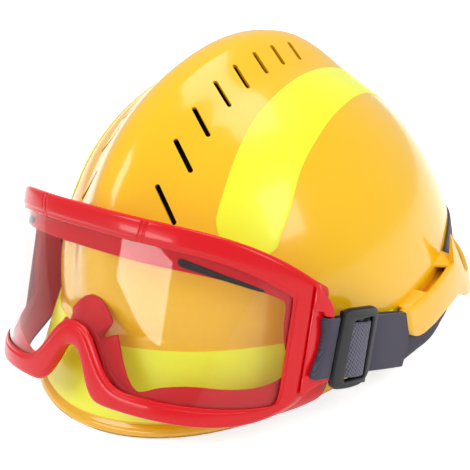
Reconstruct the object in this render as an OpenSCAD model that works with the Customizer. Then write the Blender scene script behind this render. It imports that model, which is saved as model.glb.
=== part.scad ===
// Rescue helmet with crested vented shell, reflective bands, inner cradle,
// chin strap, rear guard and wide goggles on an elastic strap.
// Millimetres. Z up, front of the helmet is -Y, wearer's left is +X.
// The helmet stands on the front lip and on the nape edge at z = 0.

/* [Shell] */
// half width of the dome
half_w = 112; // [108:1:118]
// dome length in front of the centre
front_len = 130.5; // [126:0.5:136]
// dome length behind the centre
rear_len = 140.8; // [136:0.5:148]
// dome height above the lip plane, without crest
dome_h = 151; // [146:1:158]
// shell wall thickness
shell_wall = 3; // [2.4:0.1:3.6]
// how far the front lip stands out
lip_out = 29; // [24:1:32]
// height of the flared front band
band_h = 47; // [42:1:52]
// drop of the side edge towards the rear
side_drop = 32; // [28:1:34]
// further drop of the nape edge
nape_drop = 20; // [16:1:24]
// forward pitch from the lip plane to the standing plane, degrees
stand_pitch = 10; // [9:0.5:11]

/* [Crest and vents] */
// crest rise over the brow
crest_front = 11.5; // [6:0.5:15]
// crest rise behind the crown
crest_top = 14; // [8:0.5:18]
// half width of the flat top of the crest
crest_flat = 3.5; // [2:0.5:8]
// half width of the foot of the crest
crest_foot = 37.6; // [34:0.5:42]
// width of a vent slot
vent_w = 2.6; // [1.8:0.1:3.4]
// reach of a vent slot beyond its ends, scale
vent_len = 1; // [0.8:0.05:1.1]

/* [Reflective bands] */
// thickness of the reflective film
film_t = 0.4; // [0.3:0.05:0.6]
// gap between the film and the shell
film_gap = 0.35; // [0.3:0.05:0.5]

/* [Liner and cradle] */
// impact liner thickness
liner_t = 18; // [14:1:20]
// gap between the shell and the liner
liner_gap = 0.6; // [0.4:0.1:1]
// crown strap width
crown_w = 22; // [16:1:26]
// crown strap thickness
crown_t = 1.2; // [1:0.1:1.6]
// room between the dome and the headband at the sides
side_room = 30; // [28:1:32]
// room between the dome and the headband at the front
front_room = 28.5; // [26.5:0.5:30.5]
// headband height
head_h = 26; // [20:1:30]
// headband thickness
head_t = 1.8; // [1.4:0.1:2.2]
// sweatband thickness
sweat_t = 4; // [3:0.5:5]

/* [Ratchet] */
// ratchet knob radius
knob_r = 14; // [12:0.5:16]
// ratchet knob depth
knob_len = 9; // [7:0.5:10]
// knob shaft radius
shaft_r = 3; // [2.5:0.1:3.5]
// shaft running clearance
shaft_gap = 0.06; // [0.04:0.01:0.1]
// pinion radius
pinion_r = 5; // [4.5:0.5:6]
// rack bar thickness
rack_t = 2; // [1.6:0.2:2.4]

/* [Chin strap] */
// chin strap width
chin_w = 16; // [12:1:20]
// chin strap thickness
chin_t = 1.6; // [1.2:0.1:2]
// room between the dome and the stowed chin strap at the sides
chin_side = 19; // [18:0.5:21]
// room between the dome and the stowed chin strap at the front
chin_front = 2.5; // [1:0.5:6]
// chin pivot rivet radius
rivet_r = 3; // [2.4:0.1:3.5]
// chin pivot running clearance
rivet_gap = 0.08; // [0.05:0.01:0.1]

/* [Goggles] */
// how far the goggle frame ends stay inside the dome's half width
gog_in = 0.5; // [0:0.5:2]
// height of the frame above its centre line
gog_top = 50.6; // [48:0.2:52]
// depth of the frame below its centre line
gog_low = 53; // [51:0.5:54]
// width of the rim above the lens
rim_w = 12.8; // [11:0.2:14]
// sweep of the frame ends to the rear
gog_sweep = 64; // [62:0.5:66]
// pitch of the goggles, degrees
gog_pitch = 28.4; // [28:0.2:29]
// room between the dome's front and the goggle centre
gog_gap = 10.2; // [10:0.2:13]
// centre of the goggles above the lip plane
gog_z = 75.2; // [74:0.2:77]
// half width of the nose arch
nose_w = 14.2; // [12:0.2:16]
// rise of the nose arch
nose_h = 26.6; // [22:0.2:29]
// frame depth
rim_d = 6; // [5.4:0.1:6.2]
// lens thickness
lens_t = 1.8; // [1.4:0.1:2.2]

/* [Goggle strap] */
// elastic strap width
strap_w = 34; // [30:1:36]
// elastic strap thickness
strap_t = 1.8; // [1.4:0.1:2.2]
// pin radius in the strap clips
pin_r = 2; // [1.6:0.1:2.2]
// pin running clearance
pin_gap = 0.06; // [0.04:0.01:0.1]
// tri-glide bar thickness
glide_t = 2.4; // [2:0.1:3]

/* [Rear guard] */
// distance of the guard wall from the shell
guard_off = 9; // [8:0.5:11]
// guard wall thickness
guard_t = 3.5; // [2.8:0.1:4]
// tether eye radius
eye_r = 3; // [2.5:0.1:3.5]
// guard screw radius
screw_r = 2; // [1.6:0.1:2.5]

/* [Hidden] */
dome_n = 2.06;
k_front = 2.21;
k_rear = 1.92;
z_base = 1.2;
col_n = 48;
head_a = half_w - side_room;
head_b = front_len - front_room;
chin_a = half_w - chin_side;
chin_b = front_len - chin_front;
gog_w = half_w - gog_in;
gog_y = front_len + gog_gap;
clip_x = gog_w + 3.5;
clip_y = gog_sweep + 8.8;
clip_z = -4.5;
tail_len = 74;

// piece shown, "all" for the whole helmet

function ramp(t) = let (u = min(1, max(0, t))) u * u * (3 - 2 * u);
function spow(v, p) = v >= 0 ? pow(v, p) : -pow(-v, p);

// mid-plane radius of the dome at angle ps (0 front, 90 top, 180 rear), t inside the skin
function mid_r(ps, t) =
  let (b = (cos(ps) > 0 ? front_len : rear_len) - t, k = cos(ps) > 0 ? k_front : k_rear)
  pow(pow(abs(cos(ps)) / b, k) + pow(abs(sin(ps)) / (dome_h - t), k), -1 / k);

// crest rise along the mid-plane
function crest_rise(ps) =
  2 * ramp(1 - ps / 20) * ramp(ps / 6)
  + crest_front * ramp((ps - 4) / 40) * (1 - ramp((ps - 70) / 35))
  + crest_top * ramp((ps - 70) / 35) * (1 - ramp((ps - 108) / 36));

function crest_share(x) = 1 - ramp((abs(x) - crest_flat) / (crest_foot - crest_flat));

// outward push of the flared edge at a plan point
function flare(x, y, z, t) =
  let (b = (y < 0 ? front_len : rear_len) - t, a = half_w - t,
    gx = spow(x / a, dome_n - 1) / a, gy = spow(y / b, dome_n - 1) / b,
    l = sqrt(gx * gx + gy * gy) + 0.000001,
    fr = pow(max(0, -(y / b) / sqrt(pow(x / a, 2) + pow(y / b, 2) + 0.000001)), 1.5),
    out = -5 + (lip_out + 5) * fr, zb = 18 + (band_h - 18) * fr,
    g = min(1, max(0, 1 - z / zb)))
  [out * g * gx / l, out * g * gy / l];

// a point of the dome skin: az 0 front and 90 wearer's left, el up, t inside the skin
function skin(az, el, t, crest) =
  let (dx = sin(az) * cos(el), dy = -cos(az) * cos(el), dz = sin(el),
    rd = sqrt(dy * dy + dz * dz) + 0.000001, ps = atan2(dz, -dy),
    r = pow(pow(abs(dx) / (half_w - t), dome_n) + pow(rd / mid_r(ps, t), dome_n), -1 / dome_n),
    h = crest * crest_rise(ps) * crest_share(r * dx),
    x = r * dx, y = r * dy - h * cos(ps), z = z_base + r * dz + h * sin(ps),
    f = flare(x, y, z, t))
  [x + f[0], y + f[1], z];

// height of the lower edge round the helmet
function edge_z(az) = let (a = abs(az > 180 ? az - 360 : az))
  -side_drop * ramp((a - 35) / 115) - nape_drop * ramp((a - 130) / 45);

// row elevations of the shell, closer together near the lip
rows_out = [0, 2, 3.5, 5, 9, 13, 17, 22, 28, 34, 40, 46, 52, 58, 64, 70, 76, 83];
rows_in = [0, 6, 13, 21, 30, 40, 50, 60, 70, 80];

function lip_bulge(el, az) = (el < 4 ? 1 : 0) * 0.9 * ramp((cos(az) + 0.1) / 0.6);

function shell_ring(el, t) = [for (i = [0 : col_n - 1]) let (az = i * 360 / col_n,
    p = skin(az, el, t - (t < 1 ? lip_bulge(el, az) : 0), 1)) p];
function skirt_ring(share, t) = [for (i = [0 : col_n - 1]) let (az = i * 360 / col_n,
    p = skin(az, 0, t - (t < 1 ? lip_bulge(0, az) : 0), 1))
    [p[0], p[1], z_base + (edge_z(az) - z_base) * share]];

// closed skin between an outer and an inner stack of rings with a pole on each
module dome_solid(outer, inner, top_out, top_in) {
  n = len(outer[0]);
  a = len(outer);
  b = len(inner);
  pts = concat([for (r = outer) for (p = r) p], [for (r = inner) for (p = r) p],
    [top_out, top_in]);
  io = function (r, i) r * n + (i + n) % n;
  ii = function (r, i) (a + r) * n + (i + n) % n;
  po = (a + b) * n;
  polyhedron(points = pts, faces = concat(
    [for (r = [0 : a - 2]) for (i = [0 : n - 1])
      for (f = [[io(r, i), io(r + 1, i + 1), io(r, i + 1)],
        [io(r, i), io(r + 1, i), io(r + 1, i + 1)]]) f],
    [for (i = [0 : n - 1]) [io(a - 1, i), po, io(a - 1, i + 1)]],
    [for (r = [0 : b - 2]) for (i = [0 : n - 1])
      for (f = [[ii(r, i), ii(r, i + 1), ii(r + 1, i + 1)],
        [ii(r, i), ii(r + 1, i + 1), ii(r + 1, i)]]) f],
    [for (i = [0 : n - 1]) [ii(b - 1, i), ii(b - 1, i + 1), po + 1]],
    [for (i = [0 : n - 1])
      for (f = [[io(0, i), io(0, i + 1), ii(0, i + 1)], [io(0, i), ii(0, i + 1), ii(0, i)]]) f]));
}

// closed solid from rows of points: each row is one closed section, open ends capped
module sweep_solid(secs, loop = false) {
  m = len(secs);
  n = len(secs[0]);
  id = function (r, i) ((r + m) % m) * n + (i + n) % n;
  last = loop ? m - 1 : m - 2;
  polyhedron(points = [for (s = secs) for (p = s) p], faces = concat(
    [for (r = [0 : last]) for (i = [0 : n - 1])
      for (f = [[id(r, i), id(r, i + 1), id(r + 1, i + 1)],
        [id(r, i), id(r + 1, i + 1), id(r + 1, i)]]) f],
    loop ? [] : [[for (i = [n - 1 : -1 : 0]) id(0, i)], [for (i = [0 : n - 1]) id(m - 1, i)]]));
}

// closed plate from two grids of the same size, the first is the outer face
module plate_solid(ga, gb) {
  m = len(ga);
  n = len(ga[0]);
  k = m * n;
  ia = function (r, i) r * n + i;
  ib = function (r, i) k + r * n + i;
  polyhedron(points = concat([for (r = ga) for (p = r) p], [for (r = gb) for (p = r) p]),
    faces = concat(
    [for (r = [0 : m - 2]) for (i = [0 : n - 2])
      for (f = [[ia(r, i), ia(r + 1, i), ia(r + 1, i + 1)],
        [ia(r, i), ia(r + 1, i + 1), ia(r, i + 1)]]) f],
    [for (r = [0 : m - 2]) for (i = [0 : n - 2])
      for (f = [[ib(r, i), ib(r + 1, i + 1), ib(r + 1, i)],
        [ib(r, i), ib(r, i + 1), ib(r + 1, i + 1)]]) f],
    [for (r = [0 : m - 2]) for (f = [[ia(r, 0), ib(r, 0), ib(r + 1, 0)],
      [ia(r, 0), ib(r + 1, 0), ia(r + 1, 0)],
      [ia(r, n - 1), ia(r + 1, n - 1), ib(r + 1, n - 1)],
      [ia(r, n - 1), ib(r + 1, n - 1), ib(r, n - 1)]]) f],
    [for (i = [0 : n - 2]) for (f = [[ia(0, i), ia(0, i + 1), ib(0, i + 1)],
      [ia(0, i), ib(0, i + 1), ib(0, i)],
      [ia(m - 1, i), ib(m - 1, i), ib(m - 1, i + 1)],
      [ia(m - 1, i), ib(m - 1, i + 1), ia(m - 1, i + 1)]]) f]));
}

// from the lip plane to the standing plane
lift = (front_len + lip_out - 2.6) * sin(stand_pitch);
seat_y = 7.3;
module seat() { translate([0, seat_y, lift]) rotate([stand_pitch, 0, 0]) children(); }
module both(side) { mirror([side < 0 ? 1 : 0, 0, 0]) children(); }

// vent slots: angle round the crest and side offset of the two ends
function vent_top(i) = [lookup(i, [[0, 54], [1, 64.5], [3, 81.2], [5, 94.8], [7, 107]]),
  lookup(i, [[0, 24.4], [3, 19.8], [7, 17.5]])];
function vent_low(i) = [lookup(i, [[0, 48.2], [1, 60.3], [3, 78.8], [5, 93.5], [7, 106.5]]),
  lookup(i, [[0, 36.8], [3, 31.8], [7, 26.7]])];
function crest_pt(ps, x, out) =
  let (r = mid_r(ps, 0) * pow(1 - pow(abs(x) / half_w, dome_n), 1 / dome_n)
    + crest_rise(ps) * crest_share(x) + out)
  [x, -r * cos(ps), z_base + r * sin(ps)];

module vent_cut(i, side) {
  a = vent_top(i);
  b = vent_low(i);
  mid = (a[1] + b[1]) / 2;
  half = (b[1] - a[1]) / 2 * vent_len;
  p = crest_pt(a[0], mid - half, 0);
  q = crest_pt(b[0], mid + half, 0);
  ps = (a[0] + b[0]) / 2;
  ex = (q - p) / norm(q - p);
  r = [0.35, -cos(ps), sin(ps)];
  ey = cross(r, ex) / norm(cross(r, ex));
  ez = cross(ex, ey);
  m = (p + q) / 2;
  l = norm(q - p) / 2;
  both(side) multmatrix([[ex[0], ey[0], ez[0], m[0]], [ex[1], ey[1], ez[1], m[1]],
      [ex[2], ey[2], ez[2], m[2]], [0, 0, 0, 1]])
    linear_extrude(height = 16, center = true)
      polygon([for (g = [0 : 7]) let (w = 22.5 + g * 45)
        [cos(w) * vent_w * 0.54 + (cos(w) > 0 ? l : -l), sin(w) * vent_w * 0.54]]);
}

module outer_shell() {
  color([1, 0.78, 0.16]) difference() {
    seat() difference() {
    dome_solid(
      concat([for (s = [1, 0.66, 0.33]) skirt_ring(s, 0)], [for (e = rows_out) shell_ring(e, 0)]),
      concat([for (s = [1, 0.5]) skirt_ring(s, shell_wall)],
        [for (e = rows_in) shell_ring(e, shell_wall)]),
      skin(0, 90, 0, 1), skin(0, 90, shell_wall, 1));
    for (i = [0 : 7]) for (s = [-1, 1]) vent_cut(i, s);
    }
    translate([0, 0, -20]) cube([400, 500, 40], center = true);
  }
}

// film patch on the front band
function row_pt(az, el, t) = let (i = max([for (k = [0 : 12]) rows_out[k] <= el + 0.0001 ? k : 0]),
    a = rows_out[i], b = rows_out[i + 1], w = (el - a) / (b - a))
  skin(az, a, -t, 1) * (1 - w) + skin(az, b, -t, 1) * w;
function brim_pt(u, v, t) = let (az = -75 + 150 * u, top = 17.6 - 6 * pow(abs(az) / 75, 2))
  row_pt(az, 5 + (top - 5) * v, t);
module brim_band() {
  color([0.96, 1, 0.3]) seat() plate_solid(
    [for (i = [0 : 20]) [for (j = [0 : 3]) brim_pt(i / 20, j / 3, film_gap)]],
    [for (i = [0 : 20]) [for (j = [0 : 3]) brim_pt(i / 20, j / 3, film_gap + film_t)]]);
}

// film patch beside the crest, from the brow over the top to the rear
function film_in(ps) = half_w / 112 * lookup(ps, [[46, 56.5], [60, 54], [80, 46.5], [96, 41.2],
  [113, 33], [134, 24], [150, 22]]);
function film_out(ps) = half_w / 112 * lookup(ps, [[46, 82], [56, 81.2], [64, 80.4], [77, 75.3],
  [90, 70.4], [107, 61.9], [126, 48.7], [150, 34]]);
function film_pt(u, v, t) =
  let (c = pow(abs(2 * v - 1), 3) * 4, ps = 48 + c + (100 - 2 * c) * u, x = film_in(ps)
    + (film_out(ps) - film_in(ps)) * v, p = crest_pt(ps, x, 0), q1 = crest_pt(ps + 0.5, x, 0),
    q2 = crest_pt(ps, x + 0.5, 0), n = cross(q2 - p, q1 - p), m = n / norm(n),
    w = m * (p - [0, 0, 40]) > 0 ? 1 : -1) p + m * w * t;
module film_side(side) {
  color([0.96, 1, 0.3]) seat() both(side) plate_solid(
    [for (i = [0 : 20]) [for (j = [0 : 5]) film_pt(i / 20, j / 5, film_gap + 0.25 + film_t)]],
    [for (i = [0 : 20]) [for (j = [0 : 5]) film_pt(i / 20, j / 5, film_gap + 0.25)]]);
}
module reflective_band_left() { film_side(1); }
module reflective_band_right() { film_side(-1); }

// rear guard: a wall round the rear, tied to the shell by bridges
function wall_pt(az, z, off) = let (p = skin(az, 0, 0, 0), q = skin(az + 0.5, 0, 0, 0),
    d = [q[0] - p[0], q[1] - p[1]], l = norm(d)) [p[0] + off * d[1] / l, p[1] - off * d[0] / l, z];
function guard_hi(az) = let (a = az > 180 ? 360 - az : az)
  lookup(a, [[88, 18.8], [112, 19.4], [115.6, 19.2], [116.4, 33], [122, 17], [128, -4], [134, -15],
    [142, -22], [160, -18], [180, -24]]);
function guard_lo(az) = let (a = az > 180 ? 360 - az : az)
  lookup(a, [[88, 1], [93, -7], [110, -8.5], [118, -12], [128, -27], [136, -37], [150, -40],
    [180, -46]]);
guard_az = [90.5, 93, 97, 102, 107, 112, 115.6, 116.4, 119, 122, 125, 128, 131, 134, 138, 142, 148,
  154, 160, 167, 174, 180];
// the guard starts behind the cut end of the strap
front_az = 90 + atan2(1.4 - gog_y + (clip_y + 0.4 + tail_len) * cos(gog_pitch)
  + (clip_z + strap_w / 2) * sin(gog_pitch), half_w + guard_off);
// a point at height z, off mm outside the dome
function near_pt(az, z, off) = let (w = wall_pt(az, z, 0), d = wall_pt(az, z, 1) - w,
    p = skin(az, atan2(max(0, z - z_base), norm([w[0], w[1]])), 0, 1))
  [p[0] + off * d[0], p[1] + off * d[1], z];
module guard_bridge(a0, a1, z0, z1) {
  sweep_solid([for (a = [a0, a1]) [near_pt(a, z0, 0.6), wall_pt(a, z0, guard_off + 0.6),
    wall_pt(a, z1, guard_off + 0.6), near_pt(a, z1, 0.6)]]);
}
module rear_guard() {
  half = concat([front_az], [for (a = guard_az) if (a > front_az + 0.5) a]);
  stops = concat(half, [for (i = [len(half) - 2 : -1 : 0]) 360 - half[i]]);
  color([1, 0.8, 0.2]) seat() difference() {
    union() {
      sweep_solid([for (az = stops)
        [wall_pt(az, guard_lo(az), guard_off), wall_pt(az, guard_lo(az) + 1.5, guard_off + guard_t),
         wall_pt(az, guard_hi(az) - 1, guard_off + guard_t), wall_pt(az, guard_hi(az), guard_off)]]);
      for (s = [-1, 1]) both(s) {
        guard_bridge(front_az + 2, max(101, front_az + 6), 16.7, 18.5);
        guard_bridge(116.6, 119.6, 16.7, 26);
        guard_bridge(151, 157, -35, screw_z + screw_r + 0.8);
      }
    }
    for (s = [-1, 1]) both(s) guard_axis(-15) cylinder(r = screw_r + 0.3, h = 32, $fn = 20);
    translate(wall_pt(180, eye_z, 0)) rotate([-90, 0, 0]) cylinder(r = eye_r, h = 40, $fn = 40);
  }
}
eye_z = -35;
screw_z = -33;
module guard_axis(off) {
  p = wall_pt(154, screw_z, guard_off + guard_t);
  q = wall_pt(154, screw_z, guard_off + guard_t + 1);
  d = q - p;
  translate(p + off * d) rotate([0, 0, atan2(d[1], d[0])]) rotate([0, 90, 0]) children();
}
module guard_screw(side) {
  color([0.3, 0.3, 0.32]) seat() both(side) guard_axis(0.4) difference() {
    union() {
      cylinder(r = screw_r * 2, h = 2, $fn = 16);
      translate([0, 0, -guard_t - 10.8]) cylinder(r = screw_r, h = guard_t + 11.8, $fn = 16);
    }
    translate([0, 0, 1]) cylinder(r = screw_r * 0.9, h = 2, $fn = 6);
  }
}
module guard_screw_left() { guard_screw(1); }
module guard_screw_right() { guard_screw(-1); }

function round_ring(el, t, n) = [for (i = [0 : n - 1]) skin(i * 360 / n, el, t, 0)];
module impact_liner() {
  o = shell_wall + liner_gap;
  color([0.12, 0.12, 0.13]) seat() dome_solid(
    [for (e = [13, 21, 30, 39, 48, 58, 68, 79]) round_ring(e, o + 0.5, 36)],
    [for (e = [13, 22, 32, 42, 53, 64, 77]) round_ring(e, o + liner_t, 36)],
    skin(0, 90, o + 0.5, 0), skin(0, 90, o + liner_t, 0));
}

crown_in = shell_wall + liner_gap + liner_t + 2.8;
strap_lap = 1;
// one section of a crown strap: p gives the two faces, flat tabs go down into the anchors
module crown_strap_long() {
  f = function (y, z, d) [for (c = [[-1, 0], [-1, 1], [1, 1], [1, 0]])
    [c[0] * crown_w / 2, y + d * (c[1] - 0.5) * crown_t, z]];
  color([0.2, 0.2, 0.22]) seat() sweep_solid(concat(
    [for (z = [-4, 8]) f(front_y, anchor_z + z, 1)],
    [for (i = [0 : 24]) let (ps = 17 + i * 145 / 24)
      [for (c = [[-1, 0], [-1, 1], [1, 1], [1, 0]]) let (r = mid_r(ps, crown_in + c[1] * crown_t))
        [c[0] * crown_w / 2, -r * cos(ps), z_base + r * sin(ps)]]],
    [for (z = [8, -4]) f(rear_y, rear_z + z, -1)]));
}
module crown_strap_cross() {
  t0 = crown_in + crown_t + strap_lap;
  f = function (x, z, d) [for (c = [[-1, 0], [-1, 1], [1, 1], [1, 0]])
    [x + d * (c[1] - 0.5) * crown_t, c[0] * crown_w / 2, z]];
  color([0.2, 0.2, 0.22]) seat() sweep_solid(concat(
    [for (z = [-4, 8]) f(side_x, anchor_z + z, -1)],
    [for (i = [0 : 24]) let (e = 17 + i * 146 / 24)
      [for (c = [[-1, 0], [-1, 1], [1, 1], [1, 0]]) let (p = skin(e > 90 ? 270 : 90, e > 90 ? 180 - e : e,
        t0 + c[1] * crown_t, 0)) [p[0], c[0] * crown_w / 2, p[2]]]],
    [for (z = [8, -4]) f(-side_x, anchor_z + z, 1)]));
}
pad_z = skin(90, 79, crown_in + 2 * crown_t + strap_lap, 0)[2] - 6.15;
module crown_pad() {
  color([0.15, 0.15, 0.17]) seat() translate([0, 0, pad_z]) intersection() {
    cylinder(r = 34, h = 6, $fn = 32);
    translate([0, 0, -60]) sphere(r = 69, $fn = 32);
  }
}

// clips that hold the straps to the headband level
anchor_z = 13;
anchor_t = 5;
side_x = head_a + head_t + 0.5 + anchor_t / 2;
front_y = 2 - head_b - head_t - 0.5 - anchor_t / 2;
rear_y = rear_len - crown_in - 2.2;
rear_z = 19;
module anchor_block() {
  difference() {
    cube([crown_w + 4, anchor_t, 14], center = true);
    translate([0, 0, 2]) cube([crown_w + 0.8, crown_t + 1, 16], center = true);
  }
}
module anchor_front() { color([0.1, 0.1, 0.12]) seat() translate([0, front_y, anchor_z]) anchor_block(); }
module anchor_rear() { color([0.1, 0.1, 0.12]) seat() translate([0, rear_y, rear_z]) anchor_block(); }
module anchor_side(s) {
  color([0.1, 0.1, 0.12]) seat() translate([s * side_x, 0, anchor_z]) rotate([0, 0, 90]) anchor_block();
}
module anchor_left() { anchor_side(1); }
module anchor_right() { anchor_side(-1); }

// headband: an open ring held by the anchors
head_z = -2;
module ring_part(a, b, t, h, a0, a1, n) {
  sweep_solid([for (i = [0 : n]) let (g = a0 + i * (a1 - a0) / n)
    [for (c = [[0, 0], [t, 0], [t, h], [0, h]])
      [(a + c[0]) * sin(g), -(b + c[0]) * cos(g), c[1]]]]);
}
module headband() {
  color([0.16, 0.16, 0.18]) seat() translate([0, 2, head_z])
    ring_part(head_a, head_b, head_t, head_h, -136, 136, 56);
}
module sweatband() {
  color([0.25, 0.25, 0.27]) seat() translate([0, 2, head_z + 1])
    ring_part(head_a - sweat_t - 0.3, head_b - sweat_t - 0.3, sweat_t, head_h - 2, -80, 80, 36);
}

// ratchet at the nape
rat_y = rear_len - 42.8;
tip_x = head_a * sin(136) + 3.04;
tip_y = 2 - head_b * cos(136) - rat_y + 4.63;
rat_z = -5;
module rack(side) {
  color([0.2, 0.2, 0.22]) seat() translate([0, rat_y, rat_z]) both(side) {
    translate([-18, -rack_t / 2, side > 0 ? pinion_r + 0.2 : -pinion_r - 4.2])
      difference() {
        cube([58, rack_t, 4]);
        for (i = [0 : 10]) translate([4 + i * 3, -1, side > 0 ? -0.01 : 3])
          cube([1.4, rack_t + 2, 1.01]);
      }
    hull() {
      translate([38, 0, side > 0 ? 3 : -11]) rotate([0, 0, -20]) cube([2, rack_t, 8]);
      translate([tip_x, tip_y, 6]) rotate([0, 0, -45]) cube([2, rack_t, 8]);
    }
  }
}
module rack_left() { rack(1); }
module rack_right() { rack(-1); }
module ratchet_housing() {
  color([0.1, 0.1, 0.12]) seat() translate([0, rat_y, rat_z]) difference() {
    union() {
      hull() for (x = [-20, 20]) translate([x, -5, 0]) rotate([-90, 0, 0])
        cylinder(r = 14, h = 10, $fn = 24);
      translate([0, 5, 0]) rotate([-90, 0, 0]) cylinder(r = 9, h = 4, $fn = 24);
      hull() {
        translate([-9, 1, 10]) cube([18, 4, 5]);
        translate([-9, rear_y - anchor_t / 2 - rat_y - 4.3, rear_z - rat_z - 4]) cube([18, 4, 8]);
      }
    }
    translate([0, 0, 0]) cube([90, rack_t + 0.6, 20], center = true);
    rotate([-90, 0, 0]) cylinder(r = pinion_r + 1.4, h = 4.6, center = true, $fn = 24);
    rotate([-90, 0, 0]) cylinder(r = shaft_r + shaft_gap, h = 12, $fn = 28);
  }
}
module ratchet_knob() {
  color([0.75, 0.12, 0.14]) seat() translate([0, rat_y, rat_z]) rotate([-90, 0, 0]) {
    translate([0, 0, -2]) cylinder(r = shaft_r, h = 13, $fn = 28);
    translate([0, 0, -2]) difference() {
      cylinder(r = pinion_r, h = 4, $fn = 20);
      for (i = [0 : 9]) rotate([0, 0, i * 36]) translate([pinion_r, 0, -1])
        cylinder(r = 0.7, h = 6, $fn = 6);
    }
    translate([0, 0, 9.6]) difference() {
      cylinder(r = knob_r, h = knob_len, $fn = 28);
      for (i = [0 : 11]) rotate([0, 0, i * 30]) translate([knob_r + 0.8, 0, -1])
        cylinder(r = 2.2, h = knob_len + 2, $fn = 6);
    }
  }
}
module nape_pad() {
  color([0.2, 0.2, 0.22]) seat() translate([0, rat_y - 5.4 - sweat_t, rat_z]) hull()
    for (x = [-24, 24]) translate([x, 0, 0]) rotate([-90, 0, 0]) cylinder(r = 12, h = sweat_t, $fn = 40);
}

// chin strap, stowed forward inside the brim; pivots on rivets at the sides
chin_z = 6;
chin_lo = -3;
function chin_pt(g, o, z) = [(chin_a + o) * sin(g), -(chin_b + o) * (cos(g) > 0 ? cos(g) : 0)
  + 10, z];
function chin_z0(g) = chin_lo + 14 * ramp(1 - abs(g) / 80) - chin_w / 2;
module chin_run(g0, g1, n) {
  sweep_solid([for (i = [0 : n]) let (g = g0 + i * (g1 - g0) / n, z = chin_z0(g))
    [chin_pt(g, 0, z), chin_pt(g, chin_t, z), chin_pt(g, chin_t, z + chin_w), chin_pt(g, 0, z + chin_w)]]);
}
module chin_strap(side, g0, g1) {
  color([0.14, 0.14, 0.16]) seat() difference() {
    union() {
      chin_run(g0, g1, 16);
      both(side) translate([chin_a, 10, chin_lo]) rotate([0, 90, 0])
        cylinder(r = chin_w / 2, h = chin_t, $fn = 24);
    }
    both(side) translate([chin_a - 3, 10, chin_lo]) rotate([0, 90, 0])
      cylinder(r = rivet_r + rivet_gap, h = 10, $fn = 24);
  }
}
module chin_strap_left() { chin_strap(1, 52, 90); }
module chin_strap_right() { chin_strap(-1, -90, 38); }
module chin_cup() {
  color([0.1, 0.1, 0.12]) seat() sweep_solid([for (i = [0 : 12])
    let (g = -16 + i * 32 / 12, z = chin_z0(0) - 2, t = z + chin_w + 4)
    [chin_pt(g, -3.4, z), chin_pt(g, -0.4, z), chin_pt(g, -0.4, t), chin_pt(g, -3.4, t)]]);
}
module buckle_frame() {
  p = chin_pt(45, chin_t / 2, chin_z0(45) + chin_w / 2);
  q = chin_pt(46, chin_t / 2, 0);
  r = chin_pt(44, chin_t / 2, 0);
  translate(p) rotate([0, 0, atan2(q[1] - r[1], q[0] - r[0])]) rotate([0, 7.5, 0]) children();
}
module buckle_socket() {
  color([0.08, 0.08, 0.1]) seat() buckle_frame() difference() {
    cube([34, 9, chin_w + 5], center = true);
    cube([40, chin_t + 3.8, chin_w + 1.8], center = true);
    translate([0, -3, 0]) cube([10.2, 4, 8.2], center = true);
  }
}
module buckle_button() {
  color([0.75, 0.12, 0.14]) seat() buckle_frame() translate([0, -3.9, 0])
    cube([10, 2.4, 8], center = true);
}
module rivet(side) {
  color([0.7, 0.7, 0.72]) seat() both(side) translate([chin_a, 10, chin_lo]) rotate([0, 90, 0]) {
    translate([0, 0, -1.9]) cylinder(r = rivet_r * 1.9, h = 1.5, $fn = 16);
    translate([0, 0, -1.9]) cylinder(r = rivet_r, h = chin_side - shell_wall - 1.9, $fn = 20);
    translate([0, 0, chin_t + 0.5]) cylinder(r = rivet_r * 1.9, h = 2, $fn = 16);
  }
}
module rivet_left() { rivet(1); }
module rivet_right() { rivet(-1); }

// goggle curves in the goggle frame: x to the side, y to the rear, z up
in_w = gog_w - rim_w / 2;
function gog_arc(x) = gog_sweep * pow(abs(x) / gog_w, 3.18);
function out_top(x) = gog_top * (1 - 0.417 * pow(abs(x) / gog_w, 6.2));
function out_low(x) = gog_low * (0.415 * pow(abs(x) / gog_w, 10) - 1)
  + nose_h * exp(-pow(abs(x) / nose_w, 3));
function in_top(x) = gog_top * (1 - 0.324 * pow(abs(x) / in_w, 6.2)) - rim_w;
function in_low(x) = gog_low * (0.122 * pow(abs(x) / in_w, 8) - 1) + rim_w * 0.81
  + nose_h * 1.1 * exp(-pow(abs(x) / nose_w / 1.65, 3));
function bag_top(x) = in_top(x) - rim_w * 0.86 + 0.11 * gog_top * pow(abs(x) / in_w, 4);
function bag_low(x) = gog_low * (0.2 * ramp((abs(x) - 3 * nose_w) / nose_w / 2.3)
  + 0.17 * pow(abs(x) / in_w, 8) - 0.81) + nose_h * 1.6 * exp(-pow(abs(x) / nose_w / 1.76, 2.2));
// loop parameter: share u of the half width, then the height on the right and left sides
n_top = 24;
n_low = 44;
n_side = 4;
function on_loop(k) = k < n_top ? [0, -cos(180 * k / n_top)]
  : k < n_top + n_side ? [1, (k - n_top) / n_side]
  : k < n_top + n_side + n_low
    ? [2, let (t = 1 - 2 * (k - n_top - n_side) / n_low) t - 0.09 * sin(360 * t)]
  : [3, (k - n_top - n_side - n_low) / n_side];
n_loop = n_top + n_low + 2 * n_side;
function lerp(a, b, t) = a + (b - a) * t;
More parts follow.
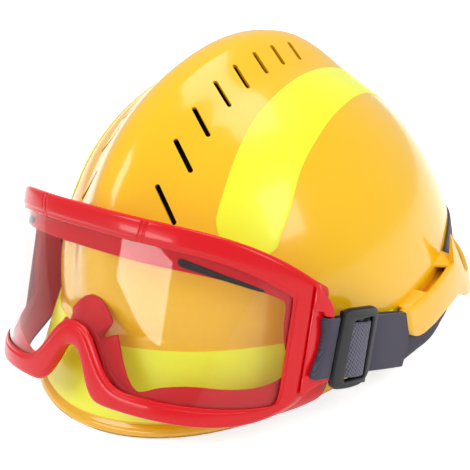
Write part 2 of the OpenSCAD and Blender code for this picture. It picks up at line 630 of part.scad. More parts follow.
// point at share f between the outer curve (0), the lens edge (1) and the soft edge (2)
function curve_pt(kind, part, u) =
  let (w = kind == 0 ? gog_w : kind == 1 ? in_w : in_w - 4,
    x = part == 1 ? w : part == 3 ? -w : u * w,
    top = kind == 0 ? out_top(x) : kind == 1 ? in_top(x) : bag_top(x),
    low = kind == 0 ? out_low(x) : kind == 1 ? in_low(x) : bag_low(x))
  part == 0 ? [x, top] : part == 2 ? [x, low]
  : part == 1 ? [x, lerp(top, low, u)] : [x, lerp(low, top, u)];
function loop_pt(k, f, d, soft = false) =
  let (lp = on_loop(k), a = curve_pt(0, lp[0], lp[1]), b = curve_pt(soft ? 2 : 1, lp[0], lp[1]),
    p = a + (b - a) * f) [p[0], gog_arc(p[0]) + d, p[1]];
module goggle_seat() {
  seat() translate([0, -gog_y, gog_z]) rotate([-gog_pitch, 0, 0]) children();
}
module ring_of(sec, soft = false) {
  m = len(sec);
  deep = function (k, c) len(c) > 2 ? c[2] * pow(abs(loop_pt(k, c[0], 0, soft)[0]) / gog_w, 1.2) : 0;
  sweep_solid([for (k = [0 : n_loop - 1]) [for (j = [m - 1 : -1 : 0]) let (c = sec[j])
    loop_pt(k, c[0], c[1] + deep(k, c), soft)]], true);
}
module goggle_frame() {
  color([0.85, 0.06, 0.1]) goggle_seat() ring_of([[0, rim_d], [0, 1.6], [0.2, 0.2], [0.8, 0.2],
    [1, 1.6], [1, 2.5], [0.7, 2.5], [0.7, rim_d]]);
}
module goggle_lens() {
  f = 0.76;
  lx = function (u) lerp(gog_w, in_w, f) * u;
  lt = function (u) lerp(out_top(gog_w * u), in_top(in_w * u), f);
  ll = function (u) lerp(out_low(gog_w * u), in_low(in_w * u), f);
  grid = function (d) [for (i = [0 : 36]) let (t = i / 18 - 1, u = t - 0.09 * sin(360 * t))
    [for (j = [0 : 3]) [lx(u), gog_arc(lx(u)) + d, lerp(ll(u), lt(u), j / 3)]]];
  color([0.8, 0.9, 0.95, 0.4]) goggle_seat() plate_solid(grid(2.8 + lens_t), grid(2.8));
}
module goggle_body() {
  color([0.75, 0.06, 0.1]) goggle_seat() ring_of([[0.08, rim_d + 0.5, 0],
    [1, rim_d + 0.5, 0], [1, rim_d + 1.7, 0], [0.44, rim_d + 1.7, 0], [0.44, rim_d + 1.9, 6],
    [0.26, rim_d + 1.9, 6]], true);
}
module goggle_foam() {
  color([0.15, 0.15, 0.16]) goggle_seat() ring_of([[0.28, rim_d + 3, 10], [0.28, rim_d + 2.2, 6],
    [0.43, rim_d + 2.2, 6], [0.43, rim_d + 3, 10]], true);
}
// tapering vent screen in the top wall
module vent_screen(side) {
  x0 = 0.54 * gog_w;
  grid = function (d) [for (i = [0 : 8]) let (x = x0 + i * 4) [for (j = [0 : 1])
    [x, gog_arc(x) + d, 0.65 * gog_top + 4.5 * j - 0.4 * i * j - 0.7 * i]]];
  color([0.05, 0.05, 0.06]) goggle_seat() both(side) plate_solid(grid(rim_d - 0.1), grid(rim_d - 0.9));
}
module vent_screen_left() { vent_screen(1); }
module vent_screen_right() { vent_screen(-1); }

// strap clips: frames on pins at the goggle ends
clip_up = 31;
clip_down = 21.5;
pin_y = -6.2;
module clip_seat(side) {
  goggle_seat() both(side) translate([clip_x, clip_y, clip_z]) children();
}
module clip(side) {
  color([0.8, 0.06, 0.1]) clip_seat(side) difference() {
    hull() for (y = [-7, 5.5]) for (z = [3 - clip_down, clip_up - 3 - (y > 0 ? 3 : 0)])
      translate([0, y, z]) rotate([0, 90, 0]) cylinder(r = 3, h = 6, center = true, $fn = 12);
    translate([0, 1, 0]) cube([12, 6, strap_w + 2.4], center = true);
    for (s = [-1, 1]) translate([s * 3.1, 8, 0]) cube([4, 10, strap_w + 2.4], center = true);
    translate([-10, pin_y, 0]) rotate([0, 90, 0]) cylinder(r = pin_r + pin_gap, h = 11.8, $fn = 20);
  }
}
module clip_left() { clip(1); }
module clip_right() { clip(-1); }
module pin(side) {
  color([0.7, 0.7, 0.72]) clip_seat(side) translate([0, pin_y, 0]) rotate([0, 90, 0]) {
    translate([0, 0, -4.4]) cylinder(r = pin_r, h = 5.9, $fn = 20);
  }
}
module pin_left() { pin(1); }
module pin_right() { pin(-1); }

// elastic strap: a straight run along the goggle pitch, then round the rear of the shell
layer_x = 2.4;
glide_y = 27;
glide_l = 31;
strap_end = half_w + 1.5;
module strap_tail(side) {
  color([0.3, 0.29, 0.35]) clip_seat(side) {
    translate([layer_x - strap_t / 2, 0.4, -strap_w / 2]) cube([strap_t, tail_len, strap_w]);
    translate([-layer_x - strap_t / 2, 0.4, -strap_w / 2]) cube([2 * layer_x + strap_t, strap_t, strap_w]);
    translate([-layer_x - strap_t / 2, 0.4, -strap_w / 2]) cube([strap_t, 9, strap_w]);
  }
}
module strap_tail_left() { strap_tail(1); }
module strap_tail_right() { strap_tail(-1); }
module tri_glide(side) {
  color([0.2, 0.2, 0.22]) clip_seat(side) translate([0.4, glide_y, 0]) difference() {
    hull() for (y = [-1, 1]) for (z = [-1, 1])
      translate([0, y * (glide_l / 2 - 3.2), z * (strap_w / 2 + 0.3)]) rotate([0, 90, 0])
        cylinder(r = 3.2, h = 11.6, center = true, $fn = 12);
    translate([-0.4, 0, 0]) cube([2 * layer_x + strap_t + 1.6, 40, strap_w + 1.2], center = true);
    translate([8, 0, 0]) cube([12, glide_l - 4 * glide_t, strap_w - 4], center = true);
  }
}
module tri_glide_left() { tri_glide(1); }
module tri_glide_right() { tri_glide(-1); }
function to_lip(p) = [p[0], -gog_y + p[1] * cos(gog_pitch) + p[2] * sin(gog_pitch),
  gog_z - p[1] * sin(gog_pitch) + p[2] * cos(gog_pitch)];
function strap_mid(az) = lookup(az, [[84, 2.4], [88, 1.2], [92, -0.8], [96, -2.6], [100, -3.6],
  [104, -3.2], [108, -1.7], [114, -1.1], [120, -1.3], [130, -3], [140, -6], [152, -9], [180, -13]]);
function strap_side(d) = let (x0 = clip_x - layer_x, x = x0 + (strap_end - x0) * ramp((d - 40) / 34),
    c = to_lip([x, clip_y + d, clip_z]), u = [0, sin(gog_pitch), cos(gog_pitch)])
  [for (q = [[-1, -1], [1, -1], [1, 1], [-1, 1]]) c + [q[0] * strap_t / 2, 0, 0] + u * q[1] * strap_w / 2];
function strap_wrap(az) = let (t = gog_pitch * (1 - ramp((az - 84) / 16)) * 0.7, z = strap_mid(az),
    o = 3.1 + 0.3 * ramp((100 - az) / 12) + 0.8 * ramp(1.4 - abs(az - 114) / 16),
    a = wall_pt(az, z, o), b = wall_pt(az, z, o + strap_t),
    e = wall_pt(az + 0.5, z, o) - wall_pt(az - 0.5, z, o), u = [0, 0, cos(t)] + e / norm(e) * sin(t))
  [a - u * strap_w / 2, b - u * strap_w / 2, b + u * strap_w / 2, a + u * strap_w / 2];
module goggle_strap() {
  left = concat([for (i = [0 : 7]) strap_side(10 + i * 9.4)],
    [for (i = [0 : 30]) strap_wrap(94 + i * 86 / 30)]);
  n = len(left);
  color([0.3, 0.29, 0.35]) seat() sweep_solid(concat(left,
    [for (i = [n - 2 : -1 : 0]) let (f = left[i]) [for (q = f) [-q[0], q[1], q[2]]]]));
}

outer_shell();
brim_band();
reflective_band_left();
reflective_band_right();
rear_guard();
guard_screw_left();
guard_screw_right();
impact_liner();
crown_strap_long();
crown_strap_cross();
crown_pad();
anchor_front();
anchor_rear();
anchor_left();
anchor_right();
headband();
sweatband();
rack_left();
rack_right();
ratchet_housing();
ratchet_knob();
nape_pad();
chin_strap_left();
chin_strap_right();
chin_cup();
buckle_socket();
buckle_button();
rivet_left();
rivet_right();
goggle_frame();
goggle_lens();
goggle_body();
goggle_foam();
vent_screen_left();
vent_screen_right();
clip_left();
clip_right();
pin_left();
pin_right();
strap_tail_left();
strap_tail_right();
tri_glide_left();
tri_glide_right();
goggle_strap();
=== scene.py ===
"""Looks of the rescue helmet: shell, reflective film, goggles, straps, guard and the soft inner cradle.

Lengths in the shape functions are millimetres in the plane of the front lip, as in the CAD source;
row() takes such points to the row frame in metres.
"""
import math

import bmesh
import bpy
import numpy as np
from mathutils import Matrix, Vector


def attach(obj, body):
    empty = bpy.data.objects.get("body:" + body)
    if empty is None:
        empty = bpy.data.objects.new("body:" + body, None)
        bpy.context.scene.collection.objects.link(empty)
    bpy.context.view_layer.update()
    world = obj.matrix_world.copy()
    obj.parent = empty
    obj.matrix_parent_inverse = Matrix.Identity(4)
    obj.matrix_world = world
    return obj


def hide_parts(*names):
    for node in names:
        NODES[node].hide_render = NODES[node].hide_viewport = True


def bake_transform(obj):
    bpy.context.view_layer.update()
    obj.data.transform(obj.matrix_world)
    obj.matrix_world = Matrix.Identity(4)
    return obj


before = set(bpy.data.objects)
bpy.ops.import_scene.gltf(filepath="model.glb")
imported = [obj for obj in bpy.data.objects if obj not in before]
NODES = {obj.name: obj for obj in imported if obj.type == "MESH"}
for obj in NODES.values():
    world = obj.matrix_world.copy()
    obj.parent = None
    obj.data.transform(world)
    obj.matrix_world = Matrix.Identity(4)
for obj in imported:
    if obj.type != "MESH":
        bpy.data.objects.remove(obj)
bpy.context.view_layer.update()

# sizes, as in the CAD source
HALF_W, FRONT_LEN, REAR_LEN, DOME_H, WALL = 112.0, 130.5, 140.8, 151.0, 3.0
LIP_OUT, SIDE_OUT, BAND_H, SIDE_BAND_H = 29.0, -5.0, 47.0, 18.0
SIDE_DROP, NAPE_DROP, STAND_PITCH = 32.0, 20.0, 10.0
CREST_FRONT, CREST_TOP, CREST_FLAT, CREST_FOOT = 11.5, 14.0, 3.5, 37.6
DOME_N, K_FRONT, K_REAR, Z_BASE = 2.06, 2.21, 1.92, 1.2
SEAT_Y = 7.3
LIP_STAND = 2.6
LIFT = (FRONT_LEN + LIP_OUT - LIP_STAND) * math.sin(math.radians(STAND_PITCH))
GOG_W, GOG_TOP, GOG_LOW, GOG_SWEEP, GOG_PITCH, GOG_Y, GOG_Z = 111.5, 50.6, 53.0, 64.0, 28.4, 140.7, 75.2
NOSE_W, NOSE_H, RIM_D, RIM_W = 14.2, 26.6, 6.0, 12.8
IN_W = GOG_W - RIM_W / 2
CLIP_X, CLIP_Y, CLIP_Z = GOG_W + 3.5, GOG_SWEEP + 8.8, -4.5
STRAP_W, STRAP_T = 34.0, 1.8
GUARD_OFF, GUARD_T = 9.0, 3.5
SIDES = (1, "left"), (-1, "right")
UP = np.array([0, 0, 1.0])


# frames
def rot_x(points, degrees, shift):
    """points turned about X, then shifted."""
    p = np.asarray(points, float)
    c, s = math.cos(math.radians(degrees)), math.sin(math.radians(degrees))
    return p @ np.array([[1, 0, 0], [0, c, s], [0, -s, c]]) + shift


def row(points):
    """From the lip frame in mm to the row frame in m."""
    return rot_x(points, STAND_PITCH, (0, SEAT_Y, LIFT)) / 1000


def goggle(points):
    """From the goggle frame in mm (x side, y rear, z up) to the lip frame in mm."""
    return rot_x(points, -GOG_PITCH, (0, -GOG_Y, GOG_Z))


# small formulas
def ramp(t):
    """Smooth step from 0 at t = 0 to 1 at t = 1."""
    u = np.clip(t, 0, 1)
    return u * u * (3 - 2 * u)


def bell(v, width):
    return np.exp(-(v / width) ** 2)


def xyz(*parts):
    """Points from three coordinates that broadcast together."""
    return np.stack(np.broadcast_arrays(*parts), -1)


def sind(a):
    return np.sin(np.radians(a))


def cosd(a):
    return np.cos(np.radians(a))


# dome
def mid_r(ps, t):
    """Radius of the mid-plane profile at angle ps, 0 in front and 90 at the top, t mm inside the skin."""
    front = cosd(ps) > 0
    b = np.where(front, FRONT_LEN, REAR_LEN) - t
    k = np.where(front, K_FRONT, K_REAR)
    return ((np.abs(cosd(ps)) / b) ** k + (np.abs(sind(ps)) / (DOME_H - t)) ** k) ** (-1 / k)


def crest_rise(ps):
    """Height of the crest over the dome along the mid-plane."""
    return (2 * ramp(1 - ps / 20) * ramp(ps / 6)
            + CREST_FRONT * ramp((ps - 4) / 40) * (1 - ramp((ps - 70) / 35))
            + CREST_TOP * ramp((ps - 70) / 35) * (1 - ramp((ps - 108) / 36)))


def crest_share(x):
    """Share of the crest's height at side offset x."""
    return 1 - ramp((np.abs(x) - CREST_FLAT) / (CREST_FOOT - CREST_FLAT))


def flare(x, y, z, t):
    """Outward shift in x and y of the lip band's skin."""
    a, b = HALF_W - t, np.where(y < 0, FRONT_LEN, REAR_LEN) - t
    gx, gy = (np.sign(v) * np.abs(v) ** (DOME_N - 1) / w for v, w in ((x / a, a), (y / b, b)))
    length = np.hypot(gx, gy) + 1e-6
    fr = np.maximum(0, -(y / b) / np.sqrt((x / a) ** 2 + (y / b) ** 2 + 1e-6)) ** 1.5
    out = SIDE_OUT + (LIP_OUT - SIDE_OUT) * fr
    g = np.clip(1 - z / (SIDE_BAND_H + (BAND_H - SIDE_BAND_H) * fr), 0, 1)
    return out * g * gx / length, out * g * gy / length


def skin(az, el, t=0.0, crest=1.0):
    """Dome skin in the lip frame: az 0 front and 90 wearer's left, t mm inside the skin."""
    az, el, t = np.broadcast_arrays(*(np.asarray(v, float) for v in (az, el, t)))
    dx, dy, dz = sind(az) * cosd(el), -cosd(az) * cosd(el), sind(el)
    rd = np.hypot(dy, dz) + 1e-6
    ps = np.degrees(np.arctan2(dz, -dy))
    r = ((np.abs(dx) / (HALF_W - t)) ** DOME_N + (rd / mid_r(ps, t)) ** DOME_N) ** (-1 / DOME_N)
    h = crest * crest_rise(ps) * crest_share(r * dx)
    x, y, z = r * dx, r * dy - h * cosd(ps), Z_BASE + r * dz + h * sind(ps)
    fx, fy = flare(x, y, z, t)
    return xyz(x + fx, y + fy, z)


def edge_z(az):
    """Height of the shell's lower edge."""
    a = np.abs(np.where(np.asarray(az) > 180, np.asarray(az) - 360, az))
    return -SIDE_DROP * ramp((a - 35) / 115) - NAPE_DROP * ramp((a - 130) / 45)


def crest_pt(ps, x):
    """A point of the skin at angle ps round the mid-plane and side offset x."""
    r = (mid_r(ps, 0) * (1 - (np.abs(x) / HALF_W) ** DOME_N) ** (1 / DOME_N)
         + crest_rise(ps) * crest_share(x))
    return xyz(x, -r * cosd(ps), Z_BASE + r * sind(ps))


# mesh helpers
def link(name, data):
    obj = bpy.data.objects.new(name, data)
    bpy.context.scene.collection.objects.link(obj)
    return obj


def new_mesh(name, verts, faces, material, sharp=None):
    """An object from row-frame vertices in metres. sharp: edges over this many degrees stay crisp."""
    mesh = bpy.data.meshes.new(name)
    mesh.from_pydata([tuple(map(float, v)) for v in np.asarray(verts).reshape(-1, 3)], [], faces)
    mesh.validate()
    bm = bmesh.new()
    bm.from_mesh(mesh)
    bmesh.ops.remove_doubles(bm, verts=bm.verts, dist=1e-6)
    bmesh.ops.recalc_face_normals(bm, faces=bm.faces)
    bm.to_mesh(mesh)
    bm.free()
    if material:
        mesh.materials.append(material)
    return finish_shade(link(name, mesh), sharp)


def finish_shade(obj, sharp=None):
    mesh = obj.data
    mesh.polygons.foreach_set("use_smooth", [True] * len(mesh.polygons))
    if sharp:
        mesh.set_sharp_from_angle(angle=math.radians(sharp))
    mesh.update()
    return obj


def grid_faces(m, n, wrap_m=False, wrap_n=False, base=0):
    """Quads of an m by n grid of points, row after row."""
    quads = []
    for r in range(m if wrap_m else m - 1):
        for i in range(n if wrap_n else n - 1):
            r2, i2 = (r + 1) % m, (i + 1) % n
            quads.append([base + a * n + b for a, b in ((r, i), (r, i2), (r2, i2), (r2, i))])
    return quads


def sweep(name, sections, material, loop=False, sharp=40, convert=row):
    """A closed solid from sections of equal length; open ends are capped."""
    s = np.asarray(sections, float)
    m, n = s.shape[:2]
    faces = grid_faces(m, n, wrap_m=loop, wrap_n=True)
    if not loop:
        faces += [tuple(range(n)), tuple(range((m - 1) * n, m * n))]
    return new_mesh(name, convert(s), faces, material, sharp)


def plate(name, outer, inner, material, sharp=40, convert=row):
    """A closed plate between two grids of the same size."""
    a, b = np.asarray(outer, float), np.asarray(inner, float)
    m, n = a.shape[:2]
    k = m * n
    faces = grid_faces(m, n) + grid_faces(m, n, base=k)
    rim = [(r * n + i, (r + 1) * n + i) for r in range(m - 1) for i in (0, n - 1)]
    rim += [(r * n + i, r * n + i + 1) for i in range(n - 1) for r in (0, m - 1)]
    faces += [(p, q, k + q, k + p) for p, q in rim]
    points = np.concatenate([a.reshape(-1, 3), b.reshape(-1, 3)])
    return new_mesh(name, convert(points), faces, material, sharp)


def normals(grid):
    n = np.cross(np.gradient(grid, axis=0), np.gradient(grid, axis=1))
    return n / (np.linalg.norm(n, axis=-1, keepdims=True) + 1e-12)


def evaluated(obj):
    deps = bpy.context.evaluated_depsgraph_get()
    return bpy.data.meshes.new_from_object(obj.evaluated_get(deps), depsgraph=deps)


def apply_modifiers(obj):
    mesh, old = evaluated(obj), obj.data
    obj.modifiers.clear()
    obj.data = mesh
    bpy.data.meshes.remove(old)


def cut_away(obj, cutter):
    """Takes the cutter's volume out of obj."""
    cut = obj.modifiers.new("cut", "BOOLEAN")
    cut.operation, cut.object, cut.solver = "DIFFERENCE", cutter, "EXACT"
    apply_modifiers(obj)
    bpy.data.objects.remove(cutter)


def join(objs, name, sharp=None):
    """One object from several, without operators."""
    bm = bmesh.new()
    for o in objs:
        bm.from_mesh(o.data)
    mesh = bpy.data.meshes.new(name)
    bm.to_mesh(mesh)
    bm.free()
    for m in objs[0].data.materials:
        mesh.materials.append(m)
    for o in objs:
        old = o.data
        bpy.data.objects.remove(o)
        bpy.data.meshes.remove(old)
    return finish_shade(link(name, mesh), sharp)


def place(obj, body, node):
    """obj rides on a body and takes the place of a CAD node, which it hides."""
    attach(obj, body)
    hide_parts(node)
    return obj


# materials
class Nodes:
    """A short way to write the node tree of a material or a world."""

    def __init__(self, owner):
        owner.use_nodes = True
        self.owner, self.tree = owner, owner.node_tree
        self.out = next(n for n in self.tree.nodes if n.type in ("BSDF_PRINCIPLED", "BACKGROUND"))

    def add(self, kind, **sockets):
        """A node; a name that is no socket is a setting."""
        node = self.tree.nodes.new(kind)
        for key, value in sockets.items():
            if hasattr(node, key) and key not in node.inputs:
                setattr(node, key, value)
            else:
                self.set(node.inputs[key.replace("_", " ")], value)
        return node

    def set(self, socket, value):
        if isinstance(value, bpy.types.NodeSocket):
            self.tree.links.new(value, socket)
        else:
            socket.default_value = value

    def texture(self, kind, out, **sockets):
        """A texture in the object's own coordinates."""
        return self.add(f"ShaderNodeTex{kind}", Vector=self.coord(), **sockets).outputs[out]

    def coord(self):
        if not hasattr(self, "space"):
            self.space = self.add("ShaderNodeTexCoord").outputs["Object"]
        return self.space

    def noise(self, scale, detail=2.0, rough=0.5):
        return self.texture("Noise", "Fac", Scale=scale, Detail=detail, Roughness=rough)

    def cells(self, scale):
        return self.texture("Voronoi", "Distance", Scale=scale)

    def maps(self, value, a, b, c, d):
        node = self.add("ShaderNodeMapRange", Value=value, From_Min=a, From_Max=b, To_Min=c, To_Max=d)
        return node.outputs[0]

    def calc(self, operation, *values):
        node = self.add("ShaderNodeMath", operation=operation)
        for socket, value in zip(node.inputs, values):
            self.set(socket, value)
        return node.outputs[0]

    def times(self, a, b):
        return self.calc("MULTIPLY", a, b)

    def plus(self, a, b):
        return self.calc("ADD", a, b)

    def along(self, axis):
        """The object's own coordinate along an axis."""
        node = self.add("ShaderNodeVectorMath", operation="DOT_PRODUCT", Vector=self.coord())
        node.inputs[1].default_value = axis
        return node.outputs["Value"]

    def seen_by(self, *rays):
        """1 where the ray is one of these kinds, 0 elsewhere."""
        path = self.add("ShaderNodeLightPath").outputs
        seen = path[f"Is {rays[0]} Ray"]
        for kind in rays[1:]:
            seen = self.calc("MAXIMUM", seen, path[f"Is {kind} Ray"])
        return seen

    def mix(self, fac, a, b):
        node = self.add("ShaderNodeMix", data_type="RGBA")
        for socket, value in (("Factor", fac), (6, a), (7, b)):
            self.set(node.inputs[socket], value)
        return node.outputs[2]

    def bump(self, height, strength, distance):
        return self.add("ShaderNodeBump", Height=height, Strength=strength, Distance=distance).outputs[0]

    def shader(self, **sockets):
        for key, value in sockets.items():
            self.set(self.out.inputs[key.replace("_", " ")], value)
        return self.owner


def material(name):
    return Nodes(bpy.data.materials.new(name))


def linear(r, g, b):
    """A colour as seen (0 to 255) in the linear values that shaders take."""
    def one(c):
        c /= 255
        return c / 12.92 if c <= 0.04045 else ((c + 0.055) / 1.055) ** 2.4
    return (one(r), one(g), one(b), 1.0)


def moulded(name, colour, deep=None, *, rough, grain, depth=0.00003, coat=0.0, mottling=0.06, speckle=0.15,
            specular=0.5):
    """Moulded plastic: slow colour drift, a fine grain and a few rubbed, duller patches."""
    n, colour = material(name), linear(*colour)
    deep = linear(*deep) if deep else tuple(c * 0.82 for c in colour[:3]) + (1.0,)
    drift = n.maps(n.noise(14.0, 3.0), 0.35, 0.7, 0.0, 1.0)
    fine = n.noise(grain, 2.0, 0.6)
    rub = n.maps(n.noise(45.0, 5.0, 0.65), 0.55, 0.75, 0.0, 1.0)
    dull = n.plus(n.maps(fine, 0.3, 0.7, rough - 0.02, rough + 0.03), n.times(rub, speckle * 0.3))
    return n.shader(Base_Color=n.mix(n.times(drift, mottling * 4), colour, deep), Roughness=dull,
                    Normal=n.bump(fine, 0.25, depth), Coat_Weight=coat, Coat_Roughness=0.05,
                    Specular_IOR_Level=specular)


def woven(name, colour, dark, axis_u, axis_v, pitch=0.0011, depth=0.0004, twill=True):
    """Woven or knitted webbing: ribs across and along, in the object's own coordinates."""
    n, colour, dark = material(name), linear(*colour), linear(*dark)
    wobble = n.times(n.noise(220.0), 0.0006)
    u, v = n.plus(n.along(axis_u), wobble), n.plus(n.along(axis_v), wobble)
    if twill:
        v = n.plus(v, n.times(u, 0.5))
    waves = [n.calc("SINE", n.times(w, 2 * math.pi / step)) for w, step in ((u, pitch), (v, pitch * 1.35))]
    knit = n.maps(n.times(*waves), -1.0, 1.0, 0.0, 1.0)
    blend = n.plus(n.times(knit, 0.7), n.times(n.noise(2600.0, 3.0, 0.7), 0.3))
    soil = n.maps(n.noise(35.0, 4.0), 0.4, 0.8, 0.0, 0.35)
    return n.shader(Base_Color=n.mix(soil, n.mix(blend, dark, colour), dark), Roughness=0.85,
                    Normal=n.bump(blend, 0.6, depth), Sheen_Weight=0.3, Sheen_Roughness=0.4,
                    Specular_IOR_Level=0.25)


def foam(name, colour, dark, cell):
    """Foam with small dark pores."""
    n = material(name)
    pores = n.maps(n.cells(cell), 0.05, 0.55, 0.0, 1.0)
    return n.shader(Base_Color=n.mix(pores, linear(*colour), linear(*dark)), Roughness=0.92,
                    Normal=n.bump(pores, 0.5, 0.0004), Specular_IOR_Level=0.2)


def padded_knit(name, colour, dark):
    """Soft knitted cover over padding."""
    n = material(name)
    holes = n.maps(n.cells(620.0), 0.15, 0.5, 0.0, 1.0)
    height = n.plus(holes, n.times(n.noise(2400.0, 3.0), 0.3))
    return n.shader(Base_Color=n.mix(n.times(holes, 0.8), linear(*colour), linear(*dark)), Roughness=0.9,
                    Normal=n.bump(height, 0.5, 0.0003), Sheen_Weight=0.35, Sheen_Roughness=0.5,
                    Specular_IOR_Level=0.2)


def steel(name):
    n = material(name)
    grain = n.noise(1800.0, 3.0)
    col = n.mix(n.noise(60.0, 4.0), (0.50, 0.50, 0.52, 1), (0.68, 0.68, 0.70, 1))
    return n.shader(Base_Color=col, Metallic=1.0, Roughness=n.maps(grain, 0.3, 0.7, 0.25, 0.42),
                    Normal=n.bump(grain, 0.15, 0.00003))


def clear_lens(name):
    """Clear moulded lens, a little hazed by fine scuffs."""
    n = material(name)
    scuff = n.maps(n.noise(70.0, 6.0, 0.7), 0.6, 0.8, 0.012, 0.05)
    return n.shader(Base_Color=(0.885, 0.88, 0.875, 1), Roughness=scuff, IOR=1.25, Transmission_Weight=1.0)


def lime_film(name):
    """Fluorescent reflective film: even lime with a faint prism grain and a faint painted glow."""
    n = material(name)
    cells = n.cells(1500.0)
    drift = n.maps(n.noise(18.0, 3.0), 0.35, 0.7, 0.0, 0.5)
    return n.shader(Base_Color=n.mix(drift, linear(246, 250, 34), linear(236, 242, 22)),
                    Roughness=n.maps(cells, 0.0, 0.6, 0.26, 0.36), Normal=n.bump(cells, 0.08, 0.00003),
                    # the emission is a faint painted glow in the lime colour, so the film looks brighter than
                    # the lamps alone make it
                    Coat_Weight=0.25, Coat_Roughness=0.1, Emission_Color=linear(242, 250, 36),
                    Emission_Strength=0.06)


GOLD = moulded("shell_gold", (253, 196, 10), (251, 186, 6), rough=0.2, grain=1500.0, depth=0.000006,
               coat=0.35, mottling=0.05, speckle=0.1, specular=0.4)
GUARD_GOLD = moulded("guard_gold", (255, 196, 30), (248, 182, 24), rough=0.34, grain=1300.0, depth=0.00002,
                     coat=0.15, mottling=0.05)
RED = moulded("goggle_red", (226, 6, 22), (208, 2, 14), rough=0.24, grain=1400.0, depth=0.00001, coat=0.2,
              mottling=0.05, specular=0.25)
SOFT_RED = moulded("soft_red", (220, 6, 22), (200, 2, 14), rough=0.42, grain=1000.0, mottling=0.08,
                   specular=0.2)
CONTROL_RED = moulded("control_red", (200, 28, 36), rough=0.4, grain=1100.0)
BLACK = moulded("black_moulded", (38, 39, 42), (28, 29, 32), rough=0.45, grain=1100.0, depth=0.00006)
SOFT_BLACK = moulded("soft_black", (44, 44, 47), (32, 32, 35), rough=0.62, grain=1600.0, depth=0.00005,
                     speckle=0.2)
GLIDE = moulded("glide_black", (20, 20, 26), (14, 14, 19), rough=0.36, grain=1200.0, depth=0.00004,
                specular=0.3)
MESH_BLACK = moulded("vent_mesh", (14, 14, 16), rough=0.7, grain=500.0, depth=0.0003)
BEAD_FOAM = foam("liner_beads", (42, 43, 46), (24, 25, 27), 330.0)
FACE_FOAM = foam("face_foam", (52, 52, 55), (20, 20, 22), 1300.0)
ELASTIC = woven("elastic_knit", (96, 93, 110), (48, 46, 58), (0, 1, 0), (0.3, 0, 1))
OPEN_KNIT = woven("elastic_open_knit", (140, 138, 157), (32, 30, 42), (0, 1, 0), (0.3, 0, 1), pitch=0.0021,
                  depth=0.0006, twill=False)
WEBBING = woven("cradle_webbing", (58, 58, 62), (26, 26, 29), (1, 1, 0), (0, 0.3, 1), pitch=0.0014)
PAD = padded_knit("pad_cover", (62, 62, 66), (28, 28, 31))
STEEL = steel("screw_steel")
LENS = clear_lens("lens_clear")
LIME = lime_film("lime_film")


# shell
COLUMNS = 288
OUT_EL = np.concatenate([np.linspace(0, 5, 11), np.linspace(5.6, 30, 38), np.linspace(31.2, 88.8, 44)])
IN_EL = np.concatenate([[0.0], np.linspace(2, 30, 14), np.linspace(34, 87, 14)])
# vent slots: how many on each side, half their width, and the reach of their cutter to both sides of the skin
SLOT_COUNT, SLOT_R, SLOT_REACH = 8, 1.45, 8
# their upper and lower ends: angle round the mid-plane and side offset, by the number of the slot
SLOT_TOP = ([0, 1, 3, 5, 7], [54, 64.5, 81.2, 94.8, 107]), ([0, 3, 7], [24.4, 19.8, 17.5])
SLOT_LOW = ([0, 1, 3, 5, 7], [48.2, 60.3, 78.8, 93.5, 106.5]), ([0, 3, 7], [36.8, 31.8, 26.7])


def lip_bead(el, az):
    """The rolled edge of the front lip and a fine groove over it; both fade out at the sides."""
    h = np.clip(el / 2.3, 0, 1)
    bead = 1.5 * np.sqrt(np.clip(1 - (2 * h - 1) ** 2, 0, 1))
    return (bead - 0.35 * bell(el - 2.4, 0.22)) * ramp((cosd(az) + 0.1) / 0.6)


def slot_cutter(i, side):
    """One vent slot's cutter, a rounded bar through the crest's flank."""
    (ps0, x0), (ps1, x1) = ([np.interp(i, *table) for table in end] for end in (SLOT_TOP, SLOT_LOW))
    p, q, ps = crest_pt(ps0, x0), crest_pt(ps1, x1), (ps0 + ps1) / 2
    span = np.linalg.norm(q - p)
    ex = (q - p) / span
    ey = np.cross([0.35, -cosd(ps), sind(ps)], ex)
    ey /= np.linalg.norm(ey)
    w = 2 * math.pi * (np.arange(28)[:, None] + 0.5) / 28
    ring = (p + q) / 2 + ex * (np.cos(w) * SLOT_R + np.sign(np.cos(w)) * span / 2) + ey * np.sin(w) * SLOT_R
    rings = [(ring + np.cross(ex, ey) * h) * [side, 1, 1] for h in (-SLOT_REACH, SLOT_REACH)]
    return sweep(f"cutter_{i}_{side}", rings, None)


def lower_rings(az, edge):
    """The shell under the dome: the round lower edge and the outer face, then the inner face."""
    base_out, base_in = skin(az, 0.0), skin(az, 0.0, WALL)

    def ring(inset, z):
        p = base_out + (base_in - base_out) * inset
        p[:, 2] = z
        return p

    outer = [ring(inset, edge) for inset in (0.86, 0.6, 0.35)]
    for up, inset in ((0.15, 0.14), (0.7, 0.03), (1.4, 0.0)):
        outer.append(ring(inset, np.minimum(edge + up, Z_BASE - 0.02 * (1.5 - up))))
    drop = edge - Z_BASE
    for share in (0.8, 0.6, 0.4, 0.2):
        outer.append(ring(0.0, np.minimum(Z_BASE + drop * share, Z_BASE - 0.01 * share)))
    inner = [ring(1.0, edge + 0.4)] + [ring(1.0, Z_BASE + drop * share) for share in (0.75, 0.5, 0.25)]
    return outer, inner


